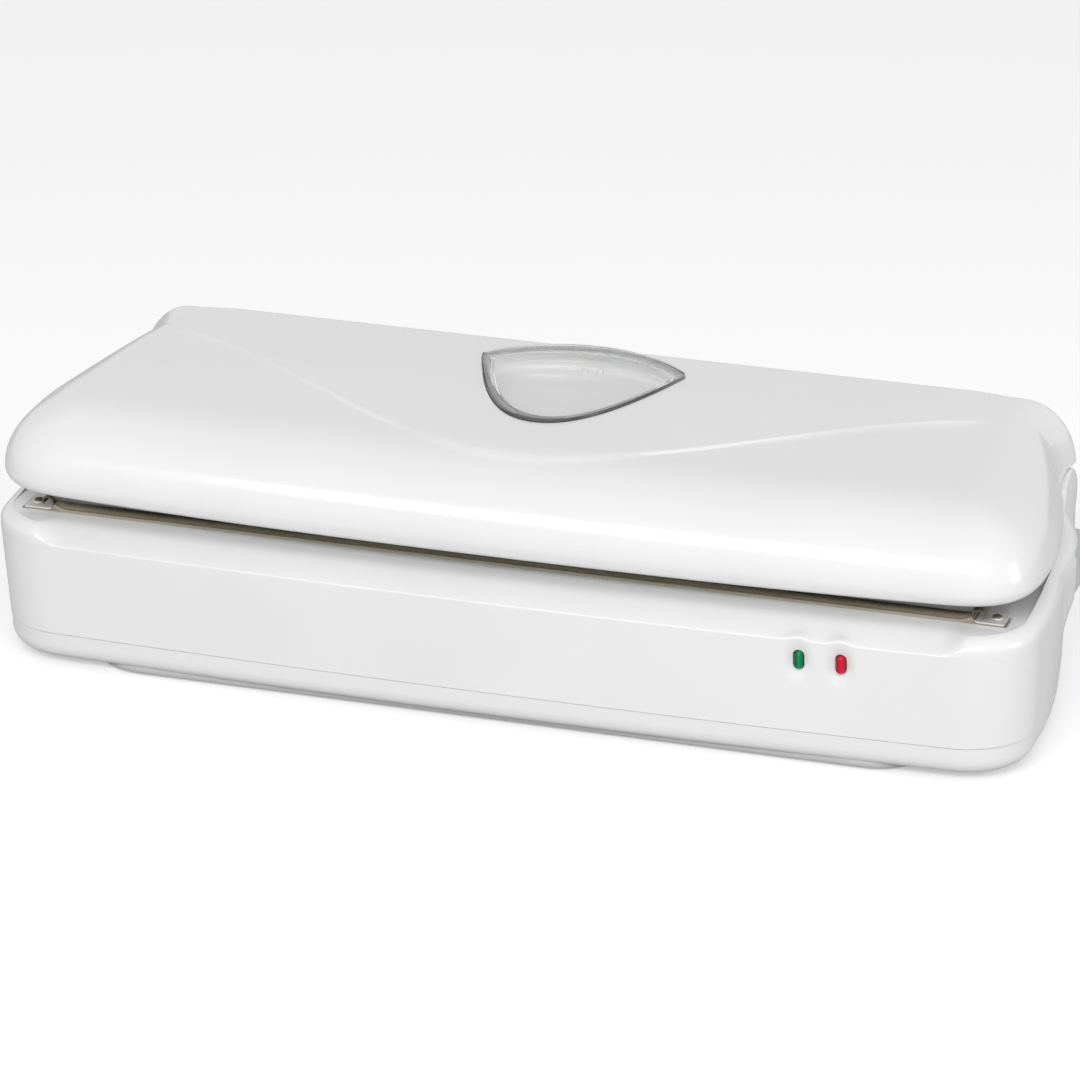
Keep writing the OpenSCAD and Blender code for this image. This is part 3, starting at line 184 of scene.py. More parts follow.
def smooth(piece, degrees):
    """Smooth shading, with edges sharper than the angle kept crisp."""
    piece.data.shade_smooth()
    piece.data.set_sharp_from_angle(angle=math.radians(degrees))


def ease(x):
    """Smooth step: 0 below 0, 1 above 1, and 3x^2 - 2x^3 between."""
    c = np.clip(x, 0.0, 1.0)
    return c * c * (3 - 2 * c)


def outward(piece):
    """Turns every face of a closed piece outwards."""
    b = bmesh.new()
    b.from_mesh(piece.data)
    bmesh.ops.recalc_face_normals(b, faces=b.faces)
    b.to_mesh(piece.data)
    b.free()
    return piece


def join(piece, other):
    """Adds another closed solid to a piece, as an island of the same mesh."""
    b = bmesh.new()
    b.from_mesh(piece.data)
    b.from_mesh(other.data)
    b.to_mesh(piece.data)
    b.free()
    bpy.data.objects.remove(other)


# %% Slabs and stand-ins
def slab(name, top, low):
    """Closed solid between two lattices of the same size, one above the other."""
    n, m = top.shape[:2]
    faces = lattice_faces(n, m)
    faces = faces + [[i + n * m for i in f[::-1]] for f in faces]
    border = lattice_rim(n, m)
    faces += [[a, b, b + n * m, a + n * m] for a, b in zip(np.roll(border, -1), border)]
    return outward(new_piece(name, np.vstack([top.reshape(-1, 3), low.reshape(-1, 3)]), faces))


def stands_for(piece, body, node, crisp=40):
    """Smooths a piece, lets it ride on a body and hides the CAD node that it stands for."""
    smooth(piece, crisp)
    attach(piece, body)
    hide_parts(node)
    return piece


print("helpers ready")

# %% [markdown]
# ## Plan of the base
# Seen from above the base is a rounded rectangle whose sides draw in towards the back and
# whose front bows gently. Every ring of the base is that one outline, drawn in by an inset.
# The outline is linear in its sizes, so one table of factors gives it for any inset at once,
# even for a different inset at each of its points.

# %% Outline and bend
HALF_W, FRONT, BACK = 179.5, -67.5, 67.5
SEAM, CREASE, SHOULDER, DECK = 12.8, 46.0, 56.5, 52.0
ROLL, LEAN_F, LEAN_S, WALL = 8.0, 3.2, 1.5, 2.5
CORNER_F, CORNER_B = 22.0, 14.0
WIDEST_Y, WAIST_IN, BOW = -25.0, 17.0, 4.0
BUTTON_Y, BUTTON_Z, WING_OUT, WING_REACH = 29.0, 43.0, 3.5, 34


def outline_table(n_front, n_corner, n_side, n_back):
    """Factors of (half width, front, back, front radius, back radius) for x and y of each outline point."""
    front, corner, side, back = (np.arange(n) / n for n in (n_front, n_corner, n_side, n_back))
    (c0, s0), (c1, s1), (c2, s2), (c3, s3) = (
        (np.cos(a), np.sin(a)) for a in (np.pi / 2 * (corner + k) for k in (-1, 0, 1, 2)))
    stretches = [
        (2 * front - 1, 0, 0, 1 - 2 * front, 0, 0, 1, 0, 0, 0),
        (1, 0, 0, c0 - 1, 0, 0, 1, 0, 1 + s0, 0),
        (1, 0, 0, 0, 0, 0, 1 - side, side, 1 - side, -side),
        (1, 0, 0, 0, c1 - 1, 0, 0, 1, 0, s1 - 1),
        (1 - 2 * back, 0, 0, 0, 2 * back - 1, 0, 0, 1, 0, 0),
        (-1, 0, 0, 0, 1 + c2, 0, 0, 1, 0, s2 - 1),
        (-1, 0, 0, 0, 0, 0, side, 1 - side, side, side - 1),
        (-1, 0, 0, 1 + c3, 0, 0, 1, 0, 1 + s3, 0)]
    return np.vstack([np.column_stack(np.broadcast_arrays(*columns)) for columns in stretches])


def bow_at(s, t):
    """Bow of the front: the square of the width, fading to nothing at the back."""
    return BOW * (s / HALF_W) ** 2 * (BACK - t) / (BACK - FRONT)


def bend(s, t):
    """Sides drawn in by powers of the distance behind and before the widest point, and front bowed."""
    behind = np.clip((t - WIDEST_Y) / (BACK - WIDEST_Y), 0, None) ** 1.6 * WAIST_IN
    before = np.clip((WIDEST_Y - t) / (WIDEST_Y - FRONT), 0, None) ** 2
    return np.stack([s * (1 - (behind + before) / HALF_W), t + bow_at(s, t)], -1)


def outline_xy(table, sizes):
    """Outline from the table and its five sizes, which may differ at each point."""
    return (table[:, :5] * sizes).sum(-1), (table[:, 5:] * sizes).sum(-1)


def plan(table, inset, lean):
    """Outline drawn in by inset and leaning in by a share of the full lean, then bent."""
    inset, lean = np.broadcast_arrays(np.asarray(inset, float), np.asarray(lean, float))
    sizes = np.stack(np.broadcast_arrays(
        HALF_W - inset - LEAN_S * lean, FRONT + inset + LEAN_F * lean, BACK - inset - LEAN_S * lean,
        np.maximum(CORNER_F - inset, 2), np.maximum(CORNER_B - inset, 2)), -1)
    return bend(*outline_xy(table, sizes))


def lean_at(z):
    """Share of the full lean at a height: none above the crease, all at the seam."""
    return np.clip((CREASE - z) / (CREASE - SEAM), 0, None)


def wing(y, z):
    """Swelling of the sides round the release buttons: a squared cosine along Y, easing in upwards."""
    reach = (y - BUTTON_Y) / WING_REACH
    swell = np.where(np.abs(reach) < 1, np.cos(np.pi / 2 * np.clip(reach, -1, 1)) ** 2, 0)
    return WING_OUT * swell * ease((z - 24) / 14)


fine = outline_table(300, 20, 90, 60)
print("outline points", len(fine))

# %% [markdown]
# ## Base housing
# The housing's wall runs up to a rolled shoulder all round, except along the front, where a long
# loading ramp is scooped out of the shoulder and meets the wall in a crisp crease. Both sections
# are written as a list of insets and heights of the same length, and the share of each changes
# over a few millimetres near the ramp's two ends, which is where the crease curls up and fades.
# The two light dimples press the wall in, and lift the crease into two small arches.

# %% Housing sections
LIGHTS_X, LIGHTS_PITCH, LIGHTS_Z = 112.0, 14.0, 38.5
light_spots = [LIGHTS_X - LIGHTS_PITCH / 2, LIGHTS_X + LIGHTS_PITCH / 2]


def along(path, n):
    """n points spaced evenly along a path of straight stretches."""
    path = np.asarray(path, float)
    run = np.concatenate([[0], np.cumsum(np.linalg.norm(np.diff(path, axis=0), axis=1))])
    s = np.linspace(0, run[-1], n)
    return np.column_stack([np.interp(s, run, path[:, k]) for k in range(path.shape[1])])


def shoulder_section(n):
    """Inset and height above the crease: up the wall, round a quarter circle, level to the inside."""
    a = np.linspace(0, np.pi / 2, 24)
    arc = np.column_stack([ROLL * (1 - np.cos(a)), SHOULDER - ROLL + ROLL * np.sin(a)])
    return along(np.vstack([[0, CREASE], arc, [16.6, SHOULDER]]), n)


def ramp_section(n, r=0.8):
    """Inset and height above the crease: a fillet, the ramp easing off to the deck, then straight up."""
    slope = math.atan2(4.1, 7.4)
    a = np.linspace(0, np.pi / 2 - slope, 7)
    fillet = np.column_stack([r * (1 - np.cos(a)), CREASE - r + 0.35 + r * np.sin(a)])
    turns = [fillet[-1], [7.2, 50.0], [8.6, 50.7], [10.2, 51.2], [12.0, 51.5], [16.5, DECK]]
    ramp = along(turns, n - 7 - 5)
    wall = along([[16.52, DECK + 0.3], [16.6, SHOULDER]], 5)
    return np.vstack([fillet, ramp, wall])


N_WALL, N_TOP = 26, 44
side_section, front_section = shoulder_section(N_TOP), ramp_section(N_TOP)
edge_plan = plan(fine, 0.0, 0.0)
on_front = edge_plan[:, 1] < -55
ramp_share = ease((161.5 - np.abs(edge_plan[:, 0])) / 11.0) * on_front
sunk = 3.9 * ease((-2 - edge_plan[:, 1]) / 44.0)
arch = sum(np.exp(-((edge_plan[:, 0] - x) / 3.4) ** 2) for x in light_spots) * on_front
print("ramp points", int((ramp_share > 0.5).sum()))


# %% Housing surface
def dimple(points):
    """Depth of the light dimples: a bowl in X and Z round each light, on the front wall only."""
    depth = 0
    for x in light_spots:
        d = np.sqrt(((points[..., 0] - x) / 5.3) ** 2 + ((points[..., 2] - LIGHTS_Z) / 8.6) ** 2)
        depth = depth + 1.9 * (1 - ease(d / 1.05) ** 1.6)
    return depth * (points[..., 1] < -50)


rings = [lift(plan(fine, 0.0, lean_at(z)), z) for z in np.linspace(SEAM, CREASE - 1.2, N_WALL)]
for k in range(N_TOP):
    inset = side_section[k, 0] * (1 - ramp_share) + front_section[k, 0] * ramp_share
    rim = CREASE + (side_section[k, 1] - CREASE) * (1 - sunk / (SHOULDER - CREASE))
    z = rim * (1 - ramp_share) + front_section[k, 1] * ramp_share
    z = z + 1.15 * arch * ramp_share * np.exp(-(inset / 3.0) ** 2) * (k < N_TOP - 8)
    rings.append(lift(plan(fine, inset, lean_at(z)), z))
rings = np.array(rings)
swell = wing(rings[..., 1], rings[..., 2]) * np.sign(rings[..., 0]) * (np.abs(rings[..., 0]) > HALF_W / 2)
rings[..., 0] += swell
rings[..., 1] += dimple(rings)
housing = ring_wall("base_skin", rings)
print("housing faces", len(housing.data.polygons))

# %% [markdown]
# The housing is hollow, with a wall under the ramp that follows it. Then its openings are cut:
# the sunk deck with a rounded rim, the cove that the hinge barrel turns in, the chamber, the slot
# of the heater bar, the pockets of the two side buttons and the holes of lights, catches and switches.

# %% Housing openings
coarse = outline_table(60, 8, 20, 20)
HINGE_Y, HINGE_Z, TOWER_IN, TOWER_OUT = 54.0, 57.0, 157.0, 167.0
TOWER_R, COVE_R, CORNER_CUT_Y, BACK_CUT_Z = 10.0, 14.3, 64.6, 44.8


hollow = ring_wall("hollow", [lift(plan(coarse, inset, lean_at(z)), z) for inset, z in
                              ((WALL, SEAM - 1), (WALL, 43.2), (16.6, DECK - WALL))])
cut(hollow, rod_x("cove_wall", HINGE_Y, HINGE_Z, COVE_R + WALL, -185, 185))
cut(housing, hollow)


def rounded_plan(*sizes):
    """Plan of a sunk form: rounded rectangle bent like the base."""
    return bend(*outline_xy(fine, np.array(sizes, float)))


def deck_cutter(r=0.9):
    """Prism over the deck whose top flares along a quarter circle, which rounds the rim it cuts."""
    edge, back = 4.6, 27
    flare = [(r * (1 - math.cos(a)), SHOULDER - 1.8 + r * math.sin(a))
             for a in np.linspace(0, np.pi / 2, 7)]
    return ring_wall("deck_tool", [
        lift(rounded_plan(HALF_W - edge + g, FRONT + edge - g, back + g, CORNER_F - edge + g, 4 + g), z)
        for g, z in [(0, DECK), *flare, (r, 75.0)]])


low_back = [(-TOWER_IN, HINGE_Y, TOWER_IN), (TOWER_IN, CORNER_CUT_Y, 190), (-190, CORNER_CUT_Y, -TOWER_IN)]
cut(housing, deck_cutter(), rod_x("cove", HINGE_Y, HINGE_Z, COVE_R, -TOWER_IN, TOWER_IN, 160),
    *[block("low_back", (x0, y, BACK_CUT_Z), (x1, BACK + 1, 58)) for x0, y, x1 in low_back])
print("housing faces", len(housing.data.polygons))


# %% Hinge towers
def tower(side, r=1.0):
    """Arch section, half round above its foot, carried along X with its ends drawn in by a small fillet."""
    a = np.linspace(-0.6435, np.pi, 60)
    arch_yz = np.column_stack([HINGE_Y + TOWER_R * np.cos(a), HINGE_Z + TOWER_R * np.sin(a)])
    foot = BACK_CUT_Z - 1.2
    arch_yz = np.vstack([[HINGE_Y + 0.8 * TOWER_R, foot], arch_yz, [HINGE_Y - TOWER_R, foot]])
    middle = np.array([HINGE_Y - 1, HINGE_Z - 4])
    rings = []
    for start, first in ((TOWER_IN + r, 0), (TOWER_OUT - r, np.pi / 2)):
        for t in np.linspace(first, first + np.pi / 2, 6):
            section = middle + (arch_yz - middle) * (1 - r * (1 - math.sin(t)) / 12)
            rings.append(np.column_stack([np.full(len(section), start - r * math.cos(t)), section]))
    return ring_wall("tower", rings if side > 0 else np.array(rings[::-1]) * [-1, 1, 1])


cut(housing, tower(1), tower(-1), how="UNION")


# %% Pockets, slots and holes
def stadium(x, z, w, h, n=16):
    """Upright stadium: two half circles of diameter w joined by straight sides, h high overall."""
    a = np.linspace(0, np.pi, n)
    top = np.column_stack([x + w / 2 * np.cos(a), z + (h - w) / 2 + w / 2 * np.sin(a)])
    low = np.column_stack([x - w / 2 * np.cos(a), z - (h - w) / 2 - w / 2 * np.sin(a)])
    return np.vstack([top, low])


def button_profile(grow):
    """Square-topped button face with two rounded lower corners, in Y and Z."""
    w, h, r = 22 / 2 + grow, 18 / 2 + grow, 5 + grow
    a, y, z = np.linspace(0, np.pi / 2, 10), BUTTON_Y, BUTTON_Z
    right = np.column_stack([y + w - r + r * np.sin(a), z - h + r - r * np.cos(a)])
    left = np.column_stack([y - w + r - r * np.cos(a), z - h + r - r * np.sin(a)])
    return np.vstack([right, [[y + w, z + h], [y - w, z + h]], left])


button_face = float(bend(HALF_W, BUTTON_Y)[0] + wing(BUTTON_Y, BUTTON_Z))
pocket = button_face - 4 - 2.5 - 0.8
wall_y = float(bend(LIGHTS_X, FRONT + LEAN_F * lean_at(LIGHTS_Z))[1])
cut(housing, side_prism("pocket_right", button_profile(0.3), pocket, pocket + 30),
    side_prism("pocket_left", button_profile(0.3), -pocket - 30, -pocket),
    block("trough_hole", (-145, -31.5, 48), (145, 18.5, 53)),
    block("bar_slot", (-170, -49.5, 50.3), (170, -39.5, 53)),
    *[block("catch", (x0, -4, 48), (x1, 8, 53)) for x0, x1 in ((157.7, 163.3), (-163.3, -157.7))],
    *[rod_z("switch", x, -22, 2.2, 48, 53.5) for x in (164.5, -164.5)],
    *[front_prism("light", stadium(x, LIGHTS_Z, 3.8, 7.0), -75, -56) for x in light_spots])
stands_for(housing, "base", "base_housing", 32)
print("button face at", round(button_face, 2), "housing faces", len(housing.data.polygons))

# %% [markdown]
# ## Bottom pan
# The pan closes the housing from below. It is the same outline drawn in by a hair, so that a thin
# seam shows all round, with a rolled lower edge and a raised platform that carries the feet.
# The pan takes feet, sunk screws and a row of exhaust slots, all cut from below.

# %% Pan
def pan_shell(name, off):
    """Rings of the pan from its floor up: a quarter circle roll, then the leaning wall."""
    a = np.linspace(np.pi / 2, 0, 12)
    rings = [lift(plan(fine, 0.4 + 6 * (1 - math.cos(t)) + off, 1.0), 2.6 + off + 6 * (1 - math.sin(t)))
             for t in a]
    rings.append(lift(plan(fine, 0.4 + off, 1.0), 14.0 if off else SEAM - 0.3))
    return ring_wall(name, rings)


def rounded_box(name, w, f, b, r, z0, z1, edge):
    """Straight rounded rectangle with its lower edge rolled."""
    rings = []
    for t in np.linspace(np.pi / 2, 0, 6):
        draw = edge * (1 - math.cos(t))
        x, y = outline_xy(coarse, np.array([w - draw, f + draw, b - draw, r, r]))
        rings.append(lift(np.column_stack([x, y]), z0 + edge * (1 - math.sin(t))))
    rings.append(rings[-1] + [0, 0, z1 - z0 - edge])
    return ring_wall(name, rings)


pan = cut(pan_shell("pan_skin", 0.0), pan_shell("pan_hollow", 2.4))
cut(pan, rounded_box("platform", 146, -59, 59, 20, 0.8, 3.6, 0.8), how="UNION")
holes = [rod_z("foot_hole", x, y, 7.3, -1, 2.2) for x in (-122, 122) for y in (-42, 42)]
holes += [rod_z("screw_hole", x, y, 2.9, -1, 4.4) for x, y in
          ((-148, -44), (148, -44), (-138, 34), (138, 34), (-24, -52), (24, -52))]
for i in range(7):
    a = np.linspace(0, np.pi, 12)
    half = np.column_stack([np.cos(a), 10 + np.sin(a)])
    holes.append(prism("slot", np.vstack([half, -half]) + [52 + (i - 3) * 5, 0], -1, 7))
cut(pan, *holes)
stands_for(pan, "base", "bottom_pan", 32)
print("pan faces", len(pan.data.polygons))

# %% [markdown]
# ## Lid
# The lid is one moulded sweep: flat in the middle and rolled over along all four edges, with a lip
# below its widest line. From above, its sides draw in to a waist in front of the hinge and swell
# out again into two rear lobes over the hinge towers. A fine step runs in a long curve from one
# rear corner past the front to the other, and divides the top from the front roll.
# The surface is a function of two parameters: how far round the side roll and how far round the
# front or back roll a point lies. The two shares are joined with a power norm at the corners.

# %% Lid functions
LID_HALF, LID_FRONT, RIM, WIDE_Z, LID_TOP = 179.0, -64.0, 58.5, 66.0, 90.0
FRONT_ROLL, SIDE_ROLL, HUMP_ROLL, BACK_ROLL = 32.0, 29.0, 19.0, 11.0
SWEEP_SOFT, SWEEP_STEP, SWEEP_END, CORNER_POWER = 1.5, 0.9, 141, 2.75


def lid_side(t):
    """Half width of the lid at a depth: drawn in to the waist, then out to the rear lobes."""
    share = np.clip((t - WIDEST_Y) / 67.0, 0, 1) ** 1.5
    return LID_HALF - 13.9 * share + 2.6 * ease((t - 46) / 20)


def rim_at(s, t):
    """Height of the lid's lower edge: lifted along the front, a little more towards its corners."""
    return RIM + (1.2 + 1.4 * np.minimum(np.abs(s) / 160, 1) ** 3) * ease((34 - t) / 50)


def side_roll(t):
    """Width of the side roll, narrower towards the back."""
    return SIDE_ROLL + (HUMP_ROLL - SIDE_ROLL) * ease((t + 12) / 64.0)


def sweep_line(s):
    """Depth of the sweeping line at a width: most of half a cosine wave, from the front to its end."""
    wave = 1 - np.cos(np.pi * np.minimum(np.abs(s), SWEEP_END) / 160)
    return -44 + 74 * wave / (1 - math.cos(math.pi * SWEEP_END / 160))


def sweep_at(s, t):
    """Step behind the sweeping line, fading out at its two ends."""
    return SWEEP_STEP * ease((t - sweep_line(s)) / SWEEP_SOFT) * ease((149 - np.abs(s)) / 20)


# %% Lid surface
def lid_lattice(nr, nc, nd, off):
    """Points of the lid: columns run over the left roll, the core and the right roll; rows over the
    front roll, a few rows up to the sweeping line and along its step, then evenly over the back roll."""
    roll, one = np.sin(np.pi / 2 * np.arange(nr, 0, -1) / nr), np.ones(nr)
    side, fwd = (np.concatenate([-one, np.zeros(n + 1), one]) for n in (nc, nd))
    a, b = (np.concatenate([roll, np.zeros(n + 1), roll[::-1]]) for n in (nc, nd))
    share = np.concatenate([0 * one, np.linspace(0, 1, nc + 1), 0 * one])
    guess = np.where(side == 0, (2 * share - 1) * (LID_HALF - SIDE_ROLL), side * (LID_HALF - SIDE_ROLL))
    t0, t1 = LID_FRONT + FRONT_ROLL, BACK - BACK_ROLL
    y0 = np.maximum(sweep_line(guess), t0 + 1)
    y1 = np.minimum(y0 + SWEEP_SOFT, t1 - 1)
    n0, n1 = max(nd // 4, 1), max(nd // 6, 1)
    first = t0 + (y0 - t0) * (np.arange(n0) / n0)[:, None]
    second = y0 + (y1 - y0) * (np.arange(n1) / n1)[:, None]
    third = y1 + (t1 - y1) * (np.arange(nd - n0 - n1 + 1) / (nd - n0 - n1))[:, None]
    core_t = np.vstack([np.full((nr, len(side)), t0), first, second, third, np.full((nr, len(side)), t1)])
    A, B = np.broadcast_arrays(a[None, :], b[:, None])
    S, F = np.broadcast_arrays(side[None, :], fwd[:, None])
    m = np.maximum(np.maximum(A, B), 1e-4)
    r = np.maximum((A ** CORNER_POWER + B ** CORNER_POWER) ** (1 / CORNER_POWER), 1e-4)
    da, db = A * m / r, B * m / r
    t = np.where(F < 0, LID_FRONT + FRONT_ROLL - (FRONT_ROLL - off) * db,
                 np.where(F > 0, BACK - BACK_ROLL + (BACK_ROLL - off) * db, core_t))
    wide = side_roll(t) - off
    core_ref = np.where(F < 0, LID_FRONT, np.where(F > 0, BACK, t))
    core_half = lid_side(core_ref) - side_roll(core_ref)
    s = np.where(S == 0, (2 * share[None, :] - 1) * core_half, S * (lid_side(t) - off - wide + wide * da))
    fall = np.sqrt(1 - np.maximum(A, B) ** 2)
    step = 0 if off else sweep_at(s, t) - SWEEP_STEP
    return np.stack([s, t + bow_at(s, t), WIDE_Z + (LID_TOP - off - WIDE_Z) * fall + step * fall], -1)


# %% Lid body
def lid_body(name, nr, nc, nd, off, drop, steps=8):
    """Closed lid form: the lattice, a lip that tucks in below its edge, a straight drop and a flat base."""
    grid = lid_lattice(nr, nc, nd, off)
    rows, cols = grid.shape[:2]
    rim = lattice_rim(rows, cols)
    p = grid.reshape(-1, 3)[rim]
    core = lid_side(p[:, 1]) - side_roll(p[:, 1])
    inward = np.stack([-np.sign(p[:, 0]) * np.clip((np.abs(p[:, 0]) - core) / SIDE_ROLL, 0, 1),
                       np.clip((LID_FRONT + FRONT_ROLL - p[:, 1]) / FRONT_ROLL, 0, 1)], -1)
    inward /= np.maximum(np.linalg.norm(inward, axis=1), 1e-3)[:, None]
    back = ease((BACK - 2 - p[:, 1]) / 12)
    rings = []
    for k in range(1, steps + 1):
        angle = math.radians(60 * k / steps)
        tuck = 3.7 * (1 - math.cos(angle)) / 0.5
        ring = p.copy()
        ring[:, :2] += inward * (tuck * back)[:, None]
        low = rim_at(p[:, 0], p[:, 1])
        ring[:, 2] = WIDE_Z - (WIDE_Z - low) * math.sin(angle) / math.sin(math.radians(60))
        rings.append(ring)
    rings.append(rings[-1] - [0, 0, drop])
    points = np.vstack([grid.reshape(-1, 3)] + rings)
    faces = lattice_faces(rows, cols)
    n, base = len(rim), rows * cols
    i = np.arange(n)
    j = (i + 1) % n
    above = rim
    for k in range(len(rings)):
        below = base + k * n + i
        faces += np.stack([above[i], above[j], below[j], below[i]], -1)[:, ::-1].tolist()
        above = below
    faces.append(above[::-1].tolist())
    return new_piece(name, points, faces)


lid = lid_body("lid_skin", 26, 150, 60, 0.0, 4.0)
X, Y = np.meshgrid(np.linspace(-200, 200, 41), np.linspace(-90, 90, 37), indexing="ij")
level = slab("level", np.stack([X, Y, rim_at(X, Y)], -1), np.stack([X, Y, np.full_like(X, 40)], -1))
cut(lid, lid_body("lid_hollow", 8, 30, 14, WALL, 6.0, 4), level)
print("lid faces", len(lid.data.polygons))

# %% [markdown]
# The top of the lid has a clear window with a cup under it, which shows the bag's edge in the real
# appliance. The cup has a flat floor with a small fillet, two small posts and a ledge that the window
# sits on. Round the hinge the lid is cut clear of the two towers and of the barrel.

# %% Window outline
RIM_POINTS = 260


def window_outline(inset, n=RIM_POINTS):
    """Parabola in front, circular arc behind, run evenly and rounded a little at the two side corners."""
    w, f = 36.2 - inset, -14.6 + 1.5 * inset
    c, b = 40.2 - 0.4 * inset, 57.2 - inset
    sag = b - c
    r = (w * w + sag * sag) / (2 * sag)
    half = math.asin(w / r)
    u = np.linspace(-1, 1, 121)
    front = np.column_stack([w * np.sign(u) * np.abs(u) ** 0.94, f + (c - f) * u * u])
    a = np.pi / 2 - half + 2 * half * np.linspace(0, 1, 60)[1:-1]
    path = np.vstack([front, np.column_stack([r * np.cos(a), b - r + r * np.sin(a)])])
    loop = along(np.vstack([path, path[:1]]), 4 * n + 1)[:-1]
    width = max(int(3.0 / (180.0 / (4 * n))), 3)
    kernel = np.hanning(2 * width + 1)
    kernel /= kernel.sum()
    pad = np.vstack([loop[-width:], loop, loop[:width]])
    soft = np.column_stack([np.convolve(pad[:, k], kernel, "valid") for k in (0, 1)])
    return soft[::4]


def window_rings(name, levels):
    """Solid whose rings follow the window outline: a list of (inset, height)."""
    return ring_wall(name, [lift(window_outline(i), z) for i, z in levels])


SEAT, WELL, POST_R = 88.6, 82.0, 1.1
floor_fillet = [(2.5 + 2.0 * (1 - math.sin(t)), WELL + 2.0 * (1 - math.cos(t)))
                for t in np.linspace(0, np.pi / 2, 7)]
cup_outer = window_rings("cup_outer", [(-1.8, WELL - 1.5), (-1.8, 89.0)])
cut(cup_outer, block("cup_limit", (-80, -80, 40), (80, 65.0, 95)), how="INTERSECT")
cut(lid, cup_outer, how="UNION")


# %% Room for the hinge, cup and posts
def tower_room(side):
    """Form cut clear of a hinge tower: round above and in front, open below and behind."""
    x0, x1 = sorted((side * 155.8, side * 190))
    a, r = np.linspace(0, np.pi, 40), TOWER_R + 0.6
    arc_yz = np.column_stack([HINGE_Y + r * np.cos(a), HINGE_Z + r * np.sin(a)])
    room = np.vstack([arc_yz, [[HINGE_Y - r, 50], [HINGE_Y + r, 50]]])
    return [side_prism("tower_room", room, x0, x1),
            block("tower_back", (x0, HINGE_Y, 50), (x1, BACK + 2, HINGE_Z + r))]


cut(lid, window_rings("seat", [(-0.3, SEAT), (-0.3, 91.0), (-1.2, 91.9)]),
    window_rings("cup", floor_fillet + [(2.5, 89.5)]),
    *tower_room(1), *tower_room(-1),
    rod_x("barrel_room", HINGE_Y, HINGE_Z, TOWER_R + 0.9, -TOWER_IN, TOWER_IN, 120))
dome = [(POST_R * math.cos(t), WELL + 1.9 + 0.9 * math.sin(t)) for t in np.linspace(0, np.pi / 2, 5)[1:-1]]
post = [(POST_R, WELL - 0.5), (POST_R, WELL + 1.9), *dome, (0.25, WELL + 2.8)]
cut(lid, peg("post", -2.75, 51, post, 24), peg("post", 2.75, 51, post, 24), how="UNION")
stands_for(lid, "lid", "lid_shell", 32)
print("lid faces", len(lid.data.polygons))

# %% [markdown]
# ## Window
# The window is a thick clear plate. Its top edge is rounded and stands proud of the lid, and a short
# skirt below it drops into the cup. One list of insets and heights, carried round the outline, makes
# the plate, its rounded edges and the skirt in a single closed surface.

# %% Window plate
edge = [(1.0 * (1 - math.sin(t)), 90.2 + 1.0 * (1 - math.cos(t))) for t in np.linspace(np.pi / 2, 0, 8)]
skirt = [(4.4, SEAT), (4.4, 85.9), (4.1, 85.6), (3.1, 85.6), (2.8, 85.9), (2.8, SEAT), (0.3, SEAT)]
window = window_rings("window_plate", skirt + [(0.0, 88.9)] + edge)
stands_for(window, "lid", "lid_window")


def border_ring(width, z0, z1, n=RIM_POINTS):
    """Ring inside the plate's rim, a dark band that paints the refraction seen there: widest in front,
    fading towards the back, with rounded corners.
    """
    rim, inner = window_outline(0.35), window_outline(0.35 + width)
    share = 0.14 + 0.86 * ease((36 - rim[:, 1]) / 34)[:, None]
    section = ((0.0, z0), (0.0, z1 - 0.4), (0.12, z1), (0.7, z1), (1.0, z1 - 0.5), (1.0, z0))
    points = [lift(rim + (inner - rim) * share * across, z) for across, z in section]
    faces = np.array(lattice_faces(len(points) + 1, n, wrap=True)) % (len(points) * n)
    return outward(new_piece("painted_refraction_band", np.vstack(points), faces))


# The band stands for the dark refraction in the window's front rim: painted reflection.
border = border_ring(3.0, 88.95, 90.5)
stands_for(border, "lid", "lid_window")
print("window", len(window.data.polygons), "faces, border", len(border.data.polygons))

# %% [markdown]
# ## Lights
# Each light is a small capsule of coloured plastic that stands out of its dimple as a low dome.
# The dome is a stack of shrinking stadium outlines whose depth follows a quarter ellipse.

# %% Lenses
def lens_dome(name, x):
    """Stadium rings from the back of the lens to its domed front."""
    w, h, front = 3.2, 6.4, wall_y - 0.2
    dome = [(front + 1.6 * (1 - math.sin(t)), math.cos(t) ** 0.8)
            for t in np.linspace(0, np.pi / 2 * 0.97, 12)]
    rings = [front_ring(stadium(x, LIGHTS_Z, w * share, h - w * (1 - share), 20), y)
             for y, share in [(front + 6.6, 1.0)] + dome]
    return stands_for(ring_wall(name + "_dome", rings), "base", name, 50)


lamps = [lens_dome("green_light", light_spots[0]),
         lens_dome("red_light", light_spots[1])]
print("lenses", [len(p.data.polygons) for p in lamps])

# %% [markdown]
# ## Sealing strip
# A woven brown tape covers the heating wire. It is thin, so it never lies quite flat: it follows the
# bar with faint waves, its front edge is folded down and its ends rise into the clips.

# %% Cover strip
def tape(x, y):
    """Height of the tape: a flat sheet with a few slow waves and a crown over the wire."""
    wave = 0.05 * np.sin(x / 9.0 + 0.6 * np.sin(x / 23.0)) + 0.03 * np.sin(x / 3.7 + y)
    crown = 0.22 * np.exp(-(y / 2.2) ** 2)
    lifted = 1.5 * ease((np.abs(x) - 154) / 5.0)
    folded = 0.9 * ease((-y - 4.6) / 0.35)
    return wave * np.exp(-(y / 5.0) ** 2) + crown + lifted - folded


